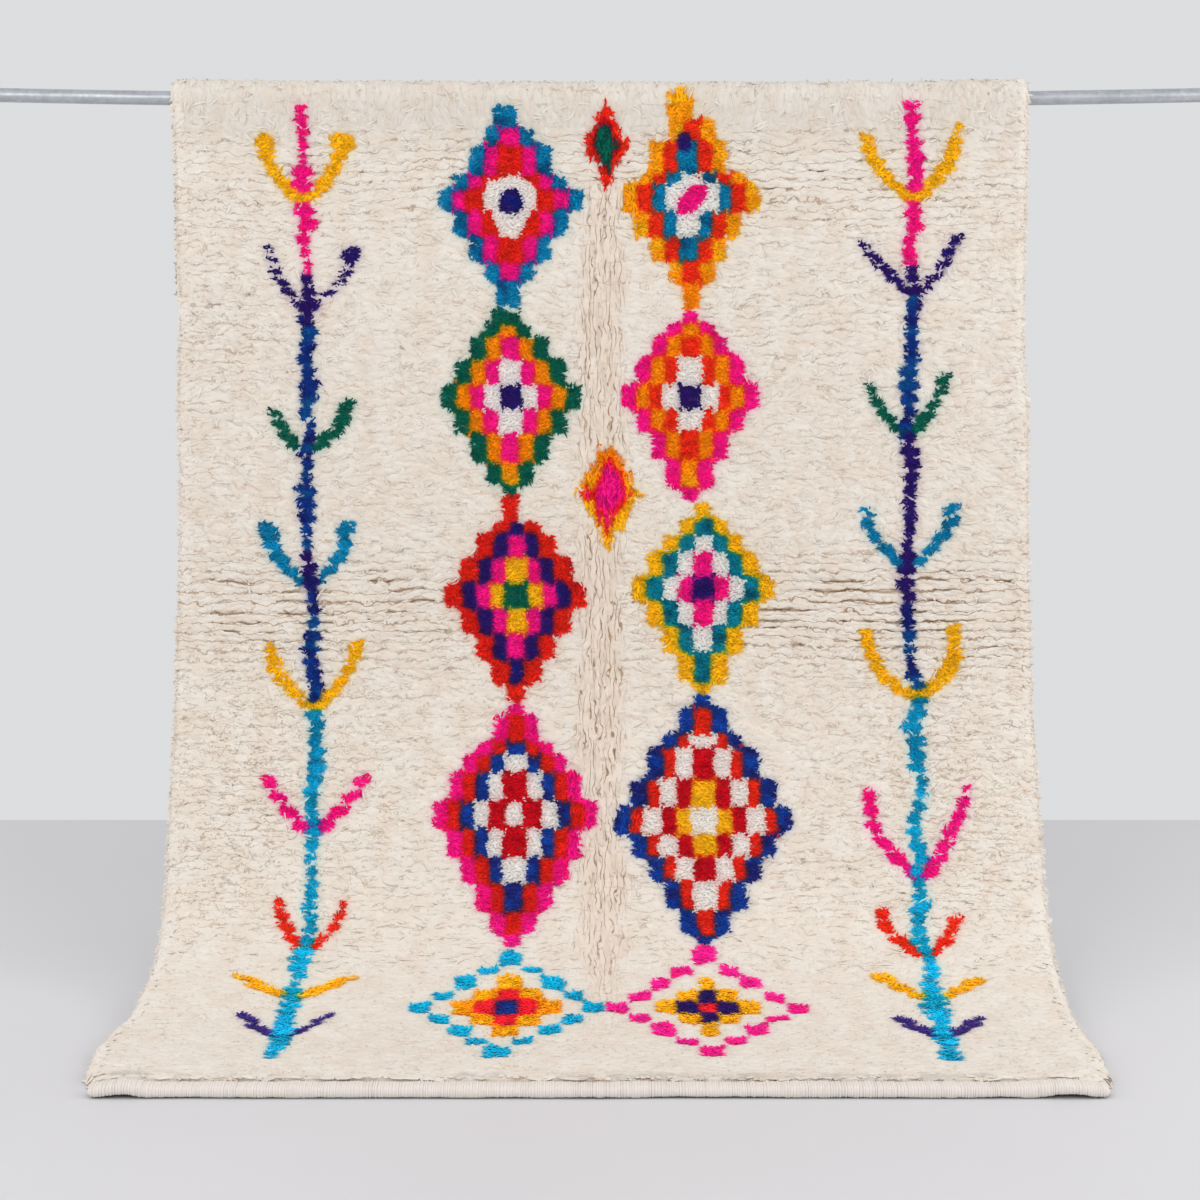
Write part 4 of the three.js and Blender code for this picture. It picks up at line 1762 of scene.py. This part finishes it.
    def fold_locks(self, random: Chance) -> Locks:
        """Locks that hang down over the fold on the rod."""
        gap, spacing = 0.0082, 0.020
        rows = np.arange(-0.085, 0.085, spacing)
        columns = np.arange(-0.745, 0.745, gap)
        along, across = every_pair(rows, columns)
        count = len(along)
        along = along + random.uniform(-0.5, 0.5, count) * spacing
        across = across + random.uniform(-0.5, 0.5, count) * gap
        flow = 0.35 * self.uneven.at(across / 0.07, along / 0.3 + 8)
        direction = random.normal(0, 0.32, count) + flow
        length = random.uniform(0.026, 0.046, count)
        width = random.uniform(0.0100, 0.0150, count)
        opening = np.clip(0.10 + 0.45 * self.uneven.at(across / 0.02, along / 0.04), 0, 0.45)
        locks = self.ivory_locks(along, across, direction, length, width, opening, random)
        return locks.pick(self.partings.fold_share(locks.along, locks.across) > 0.35)

    def plain_locks(
        self, along: Array, across: Array, direction: Array, length: float, width: float,
        lift: Array, pale: tuple, random: Chance, bend: float = 0.5, rise: float = 0.0012,
    ) -> Locks:
        """Small locks of one kind.

        Args:
            along: Where each lock's middle lies along the cloth.
            across: Where it lies across.
            direction: Each lock's angle from straight down the cloth.
            length: The usual length.
            width: The usual width.
            lift: Each lock's own lift.
            pale: The lowest and highest shade.
            random: The source of chance.
            bend: The usual bend.
            rise: The usual rise.

        Returns:
            The locks.
        """
        count = len(along)
        crown = random.uniform(*pale, count)
        return Locks(
            along=along,
            across=across,
            direction=direction,
            length=length * random.uniform(0.7, 1.3, count),
            width=width * random.uniform(0.7, 1.3, count),
            ridge=np.full(count, 0.16 * width),
            rise=rise * random.uniform(0.4, 1.6, count),
            bend=random.normal(0, bend, count),
            crown=crown,
            edges=np.column_stack([crown, crown]) * random.uniform(0.86, 1.0, (count, 2)),
            tone=self.grey(np.ones(count)),
            lift=lift,
        )

    def dyed_pile(self) -> dict[Dye, bpy.types.Object]:
        """Tufts of every dye where the chart asks for them, and their knots on the cloth's back."""
        random = np.random.default_rng(41)
        rows = np.arange(0.0, 2.0, self.tuft_along)
        columns = np.arange(-0.66, 0.69, self.tuft_across)
        along, across = every_pair(rows, columns)
        along = along + random.uniform(-0.5, 0.5, along.shape) * self.tuft_along
        across = across + random.uniform(-0.5, 0.5, across.shape) * self.tuft_across
        stray_along = along + random.normal(0, 0.0010, along.shape)
        stray_across = across + random.normal(0, 0.0008, across.shape)
        numbers = self.dyes.number(stray_along, stray_across)
        made = {}
        for dye in DYES:
            own = numbers == DYES.index(dye)
            if dye is not IVORY and own.any():
                made[dye] = self.tufts(dye, along[own], across[own], random)
        return made

    def tufts(self, dye: Dye, along: Array, across: Array, random: Chance) -> bpy.types.Object:
        """The tufts of one dye, and its knots on the cloth's back.

        Args:
            dye: The dye.
            along: Where the tufts lie along the cloth.
            across: Where they lie across.
            random: The source of chance.

        Returns:
            The mesh object.
        """
        count = len(along)
        plain = dye is WHITE
        flow = 0.9 * self.uneven.at(across / 0.022 + 40, along / 0.022)
        side = np.where(random.random(count) < 0.5, -1, 1)
        direction = side * (1.15 + random.normal(0, 0.42, count)) + 0.6 * flow
        upright = np.abs(across - self.partings.crease_across) < 0.065
        direction = np.where(upright, random.normal(0, 0.5, count), direction)
        outward, rim = self.dyes.outward(along, across)
        turned = random.random(count) < 0.65 * rim
        direction = np.where(turned, outward + random.normal(0, 0.6, count), direction)
        lift = random.uniform(-0.0010, 0.0012, count)
        locks = self.plain_locks(along, across, direction, self.tuft_length, self.tuft_width, lift,
                                 (0.74, 1.0), random)
        locks.length = locks.length * (1 + 0.45 * (upright & ~turned))
        inside = self.inside_block(locks, DYES.index(dye)) | (rim > 0.5)
        locks.length = np.where(inside, locks.length, 0.58 * locks.length)
        # Painted shade in the slits between tufts: the sides of many tufts are painted darker, those of the
        # white ones hardly.
        locks.edges = locks.edges * random.uniform(0.80 if plain else 0.15, 1.0, (count, 2))
        patch = self.uneven.rough(across / 0.013 + 70, along / 0.010)
        patch = 0.26 * patch + random.normal(0, 0.13 + 0.07 * upright)
        patch = np.clip(1 + patch * (0.30 if plain else 1), 0.55, 1.45)
        if not plain:
            # Painted light: the dyed tufts are lighter where the cloth lies on the floor.
            patch = patch * (1 + 0.22 * ease(along, 1.45, 1.62))
        locks.tone = np.column_stack([self.dyes.tint_with_painted_light(dye, along, across), patch])
        parts = MeshParts()
        locks.lay(parts, self.drape, TUFT, self.surface, self.dyes, self.halo if plain else 0.60, plain)
        self.back_knots(parts, dye)
        return parts.make(dye.value)

    def inside_block(self, locks: Locks, number: int) -> Array:
        """True for the locks whose two ends still lie on their own dye."""
        inside = np.ones(len(locks.along), bool)
        for way in (-0.45, 0.45):
            along = locks.along + way * locks.length * np.cos(locks.direction)
            across = locks.across + way * locks.length * np.sin(locks.direction)
            inside &= self.dyes.number(along, across) == number
        return inside

    def back_knots(self, parts: MeshParts, dye: Dye) -> None:
        """Adds the knots of one dye that show on the cloth's back where it hangs free of the floor."""
        rows = np.arange(0.03, 1.80, self.knot_cell)
        columns = np.arange(-0.66, 0.69, self.knot_cell)
        along, across = every_pair(rows, columns)
        own = self.dyes.number(along, across) == DYES.index(dye)
        along, across = along[own], across[own]
        half = 0.44 * self.knot_cell
        corners = np.array([(-1, -1, -0.2), (-1, 1, -0.2), (1, 1, -0.2), (1, -1, -0.2), (0, 0, -1.2)])
        spots_along = along[:, None] + half * corners[None, :, 0]
        spots_across = across[:, None] + half * corners[None, :, 1]
        lift = np.broadcast_to(0.0009 * corners[None, :, 2] + 0.0001, spots_along.shape)
        base = (np.arange(len(along)) * 5)[:, None, None]
        sides = np.array([(0, 1, 4), (1, 2, 4), (2, 3, 4), (3, 0, 4)])
        lay = np.stack([spots_across, spots_along], axis=-1)
        # The knots' rims are painted in shade and their middles left light.
        shade = np.broadcast_to(np.array([0.6, 0.6, 0.6, 0.6, 0.95]), spots_along.shape)
        parts.add(self.drape.place(spots_along, spots_across, lift), (base + sides[None]).reshape(-1, 3),
                  lay, shade.copy())

    def loose_wool(self) -> bpy.types.Object:
        """Fine loose strands: over the pile, out from the long edges, on the fold and over the hems."""
        random = np.random.default_rng(51)
        parts = MeshParts()
        drape = self.drape
        along = random.uniform(-0.36, 1.62, self.loose_count)
        across = random.uniform(-0.735, 0.735, self.loose_count)
        direction = random.choice([-1, 1], self.loose_count) * random.normal(1.3, 0.55, self.loose_count)
        locks = self.plain_locks(along, across, direction, 0.026, 0.0034,
                                 np.full(self.loose_count, 0.0004), (0.94, 1.0), random, 0.8, 0.0010)
        plain = self.is_ivory(along, across) & (np.abs(along) > 0.03)
        plain &= self.partings.crease_share(along, across) < 0.3
        plain &= self.partings.region(along, across) < random.uniform(0.2, 1.2, self.loose_count)
        locks.pick(plain).lay(parts, drape, SHORT_LOCK, self.surface, self.dyes, self.halo)
        for side, edge in ((-1, drape.left), (1, drape.right)):
            self.edge_wool(parts, side, edge, random)
        for end, way, first in ((self.partings.end, 0.0, 0.0056), (self.partings.start, math.pi, 0.0070)):
            across = np.arange(*self.sides(end, 0.016), first)
            across = across + random.uniform(-0.002, 0.002, len(across))
            scallop = 0.0120 * self.uneven.at(across / 0.026, 91.5)
            along = end + math.cos(way) * (random.uniform(-0.009, -0.004, len(across)) + scallop)
            lift = random.uniform(0.0150, 0.0185, len(across))
            direction = way + random.normal(0.35, 0.50, len(across))
            # The locks over both ends are painted darker, most along their sides, as shade in the crease
            # beside each hem.
            locks = self.plain_locks(along, across, direction, 0.017, 0.0105, lift, (0.60, 1.0), random, 0.7)
            locks.edges = locks.edges * random.uniform(0.0, 0.45, locks.edges.shape)
            locks.lay(parts, drape, SHORT_LOCK)
        across = random.uniform(-0.74, 0.74, self.fuzz_count // 2)
        along = random.uniform(-0.024, 0.030, len(across))
        lift = random.uniform(0.0185, 0.0215, len(across))
        direction = random.normal(0.3, 0.9, len(across))
        strands = self.plain_locks(along, across, direction, 0.016, 0.0022, lift, (0.95, 1.0), random, 0.9)
        strands.lay(parts, drape, TUFT)
        return parts.make("loose_wool", self.partings)

    def edge_wool(self, parts: MeshParts, side: int, edge: object, random: Chance) -> None:
        """Locks that lie over one long edge, and a fuzz of thin strands out from it where it hangs.

        Args:
            parts: Where they go.
            side: -1 for the left edge, 1 for the right one.
            edge: Gives the edge's distance from the middle line.
            random: The source of chance.
        """
        steps = np.arange(-0.37, 2.040, self.edge_step)
        count = len(steps)
        for inset, length, width in self.edge_rows:
            along = steps + random.uniform(-0.004, 0.004, count)
            across = side * (edge(along) - inset + random.uniform(-0.002, 0.002, count))
            direction = side * random.normal(1.05, 0.50, count)
            locks = self.plain_locks(along, across, direction, length, width, np.full(count, 0.0003),
                                     (0.93, 1.0), random, 0.6)
            locks.lay(parts, self.drape, SHORT_LOCK, self.surface)
        along = random.uniform(-0.36, 1.93, self.fuzz_count)
        across = side * (edge(along) - 0.007)
        direction = side * random.normal(1.25, 0.40, self.fuzz_count)
        lift = random.uniform(0.004, 0.014, self.fuzz_count)
        strands = self.plain_locks(along, across, direction, 0.021, 0.0024, lift, (0.95, 1.0), random, 0.5)
        strands.lay(parts, self.drape, TUFT)

    def hem(self, name: str, front: bool) -> bpy.types.Object:
        """A rolled hem, overcast with close turns of yarn.

        Args:
            name: The piece's name.
            front: Whether it is the hem on the floor or the one behind the rod.

        Returns:
            The hem's mesh object.
        """
        drape = self.drape
        random = np.random.default_rng(61 if front else 62)
        end = drape.front_length if front else -drape.back_length
        inward = -1 if front else 1
        left, right = self.sides(end, 0.002)
        turns = int((right - left) / (self.rib_pitch * (1 if front else 2)))
        widths = random.uniform(0.7, 1.3, turns)
        starts = np.concatenate([[0], np.cumsum(widths)]) / widths.sum() * (right - left) + left
        stations = (0.0, 0.28, 0.72)
        across = np.concatenate([starts[:-1] + share * np.diff(starts) for share in stations])
        order = np.argsort(across)
        groove = np.repeat(np.array([1.0, 0.0, 0.0]), turns)[order]
        across = np.append(across[order], right)
        groove = np.append(groove, 1.0)
        size = np.append(np.tile(random.uniform(0.93, 1.05, turns), 3)[order], 1.0)
        depth = 0.0010 * groove * (0.2 + 1.5 * np.abs(self.fine.at(across / 0.011, 3.5)))
        angle = np.linspace(0, 2 * math.pi, self.hem_around + 1)
        from_tip = np.minimum(across - across[0], across[-1] - across)
        taper = np.sqrt(np.clip(1 - (1 - np.clip(from_tip / 0.012, 0, 1)) ** 2, 0.02, 1))
        plump = 1 + 0.15 * self.uneven.at(across / 0.040, 4.5) + 0.08 * self.fine.at(across / 0.014, 7.5)
        plump = plump * size
        sway = 0.0020 * self.uneven.at(across / 0.10, 15.5) + 0.0008 * self.fine.at(across / 0.018, 19.5)
        half_depth = (self.hem_depth / 2) * taper * plump - depth
        half_length = (self.hem_length / 2) * (0.4 + 0.6 * taper) - depth
        cosine, sine = (np.sign(wave) * np.abs(wave) ** 0.6 for wave in (np.cos(angle), np.sin(angle)))
        from_end = self.hem_length / 2 - self.hem_reach + sway[:, None] + half_length[:, None] * cosine[None]
        lift = self.hem_depth / 2 + half_depth[:, None] * sine[None]
        along = end + inward * from_end
        wide = np.repeat(across[:, None], self.hem_around + 1, axis=1)
        points = drape.place(along, wide, np.maximum(lift, 0.0002))
        turn = np.repeat(angle[None] * self.hem_length / math.pi, len(across), axis=0)
        lay = np.stack([wide, turn], axis=-1)
        # Painted shadow: the front hem's underside turns dark where it meets the floor, and the grooves are
        # painted a little darker.
        under = ease(sine, -0.98, -0.55) if front else np.ones(sine.shape)
        shade = (1 - 0.14 * groove[:, None]) * under[None]
        parts = MeshParts()
        faces = grid_faces(len(across), self.hem_around + 1)
        if not front:
            faces = faces[:, ::-1]
        parts.add(points, faces, lay, shade)
        return parts.make(name)

    def ground_weave(self) -> bpy.types.Object:
        """The woven ground, a thin closed sheet under the pile."""
        drape = self.drape
        along = np.linspace(-drape.back_length + 0.008, drape.front_length - 0.008, self.weave_rows)
        wrap = np.linspace(-0.06, 0.06, 26)
        along = np.sort(np.concatenate([along[np.abs(along) > 0.065], wrap]))
        left = -drape.left(along) + self.weave_inset
        right = drape.right(along) - self.weave_inset
        shares = np.linspace(0, 1, self.weave_columns)
        across = left[:, None] + (right - left)[:, None] * shares
        long = np.repeat(along[:, None], self.weave_columns, axis=1)
        parts = MeshParts()
        lay = np.stack([across, long], axis=-1)
        faces = grid_faces(*across.shape)
        shade = np.ones(across.shape)
        parts.add(drape.place(long, across, self.weave_thickness), faces, lay, shade)
        parts.add(drape.place(long, across, 0.0002), faces[:, ::-1], lay, shade)
        count = across.size
        grid = np.arange(count).reshape(across.shape)
        for edge, flip in ((grid[:, 0], False), (grid[:, -1], True), (grid[0], True), (grid[-1], False)):
            rim = np.column_stack([edge[:-1], edge[1:], edge[1:] + count, edge[:-1] + count])
            parts.more_faces(rim if flip else rim[:, ::-1], 0)
        return parts.make("ground_weave")

    def build(self) -> None:
        """Builds and dresses all pieces of the rug."""
        ivory = [self.bed(*band) for band in self.beds]
        random = np.random.default_rng(42)
        sets = (self.row_locks(random), self.crease_locks(random), self.fold_locks(random))
        for name, low, high in self.bands:
            parts = MeshParts()
            for locks in sets:
                inside = (locks.along >= low) & (locks.along < high)
                if inside.any():
                    locks.pick(inside).lay(parts, self.drape, LONG_LOCK, self.surface, self.dyes, self.halo)
            ivory.append(parts.make(name, self.partings))
        ivory.append(self.loose_wool())
        for piece in ivory:
            self.dress(piece, self.dyehouse.materials[IVORY], IVORY.value)
        pile = list(ivory)
        for dye, piece in self.dyed_pile().items():
            self.dress(piece, self.dyehouse.materials[dye], dye.value)
            pile.append(piece)
        hem_wool = HemFinish().make(self.dyehouse.shared)
        for name, front in (("hem_front", True), ("hem_back", False)):
            hem = self.hem(name, front)
            self.dress(hem, hem_wool, "hem_wool")
            pile.append(hem)
        weave = self.ground_weave()
        self.dress(weave, WeaveFinish().make(self.dyehouse.shared), "ground_weave")
        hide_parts("rug")

    @staticmethod
    def dress(piece: bpy.types.Object, material: bpy.types.Material, slot: str) -> None:
        """Gives a piece its material and lets it ride on the body."""
        piece.data.materials.append(material)
        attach(piece, BODY)


@dataclass
class Rod:
    """The galvanised steel rod that the rug hangs over."""

    drape: Drape
    around: int = 48
    stations: int = 60
    bore_radius: float = 0.0105
    bore_depth: float = 0.02
    edge_round: float = 0.0008

    def build(self) -> bpy.types.Object:
        """Builds the tube with its two open ends, bent down a little at the middle."""
        drape = self.drape
        radius = drape.rod_radius
        half = drape.rod_half_length
        ring = [(-half + self.bore_depth, 0.0), (-half + self.bore_depth, self.bore_radius)]
        ring += [(-half, self.bore_radius), (-half, radius - self.edge_round)]
        ring += [(-half + self.edge_round, radius)]
        body = [(place, radius) for place in np.linspace(-half + 0.01, half - 0.01, self.stations)]
        profile = ring + body + [(-place, size) for place, size in reversed(ring)]
        across = np.array([place for place, _ in profile])[:, None]
        size = np.array([size for _, size in profile])[:, None]
        angle = np.linspace(0, 2 * math.pi, self.around + 1)[None]
        axis = drape.rod_height - drape.sag(across)
        points = np.stack(np.broadcast_arrays(
            across, drape.rod_y + size * np.cos(angle), axis + size * np.sin(angle)), axis=-1)
        lay = np.stack(np.broadcast_arrays(across, angle * radius), axis=-1)
        parts = MeshParts()
        faces = grid_faces(len(profile), self.around + 1)
        parts.add(points, faces, lay, np.ones(points.shape[:2]))
        rod = parts.make("zinc_rod")
        rod.data.materials.append(ZincFinish().make())
        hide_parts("rod")
        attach(rod, BODY)
        return rod


@dataclass(frozen=True)
class SoftLight:
    """A large soft lamp: where it stands, what it points at, its size and power."""

    name: str
    place: tuple
    target: tuple
    size: float
    power: float


@dataclass
class Studio:
    """The floor, the light and the camera."""

    camera_place: tuple = (0.0, -4.147, 1.231)
    camera_tilt: float = 87.0
    lens: float = 76.89
    shift_up: float = -0.17
    floor_front: float = -5.5
    floor_back: float = 1.455
    floor_half_width: float = 4.0
    world_strength: float = 0.74
    lights: tuple = (
        SoftLight("front left lamp", (-2.2, -4.6, 3.0), (0.0, 0.0, 0.8), 2.6, 43.0),
        SoftLight("front right lamp", (2.6, -4.2, 2.2), (0.0, 0.0, 0.8), 2.6, 13.0),
        SoftLight("low lamp", (0.0, -1.6, 2.3), (0.0, -0.7, 0.0), 1.8, 4.0),
        SoftLight("left side lamp", (-3.3, -0.8, 1.9), (-1.0, 0.2, 0.2), 2.0, 26.0),
        SoftLight("right side lamp", (3.3, -0.8, 1.9), (1.0, 0.2, 0.2), 2.0, 38.0),
    )

    def build(self) -> None:
        """Lays the floor, sets the light and places the camera."""
        self.floor()
        self.light()
        self.camera()
        bpy.context.scene.view_settings.view_transform = "Standard"

    def floor(self) -> None:
        """A plain pale floor."""
        width, front, back = self.floor_half_width, self.floor_front, self.floor_back
        mesh = bpy.data.meshes.new("floor")
        corners = [(-width, front, 0), (width, front, 0), (width, back, 0), (-width, back, 0)]
        mesh.from_pydata(corners, [], [(0, 1, 2, 3)])
        mesh.materials.append(FloorFinish().make())
        put("floor", mesh)

    def light(self) -> None:
        """Even pale light all round, and large soft lamps."""
        world = bpy.data.worlds.new("pale room")
        bpy.context.scene.world = world
        world.use_nodes = True
        background = world.node_tree.nodes["Background"]
        background.inputs["Color"].default_value = linear(252, 253, 255)
        background.inputs["Strength"].default_value = self.world_strength
        for lamp in self.lights:
            data = bpy.data.lights.new(lamp.name, "AREA")
            data.size = lamp.size
            data.energy = lamp.power
            light = put(lamp.name, data)
            aim = np.array(lamp.target) - np.array(lamp.place)
            level = math.hypot(aim[0], aim[1])
            light.location = lamp.place
            light.rotation_euler = (math.atan2(level, -aim[2]), 0, math.atan2(-aim[0], aim[1]))

    def camera(self) -> None:
        """The camera, a little above the rug's middle and looking slightly down."""
        data = bpy.data.cameras.new("camera")
        data.lens = self.lens
        data.sensor_width = 36.0
        data.shift_y = self.shift_up
        camera = put("camera", data)
        camera.location = self.camera_place
        camera.rotation_euler = (math.radians(self.camera_tilt), 0, 0)
        bpy.context.scene.camera = camera


def write_sizes() -> None:
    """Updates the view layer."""
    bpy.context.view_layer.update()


def main() -> None:
    """Builds the studio, the rod and the rug."""
    logging.basicConfig(level=logging.INFO, format="%(name)s: %(message)s")
    Studio().build()
    drape = Drape()
    rod = Rod(drape).build()
    LOG.info("rod built as %s", rod.name)
    Rug(drape, Chart(), Partings(), Dyehouse()).build()
    LOG.info("rug built")
    write_sizes()


if __name__ == "__main__":
    main()
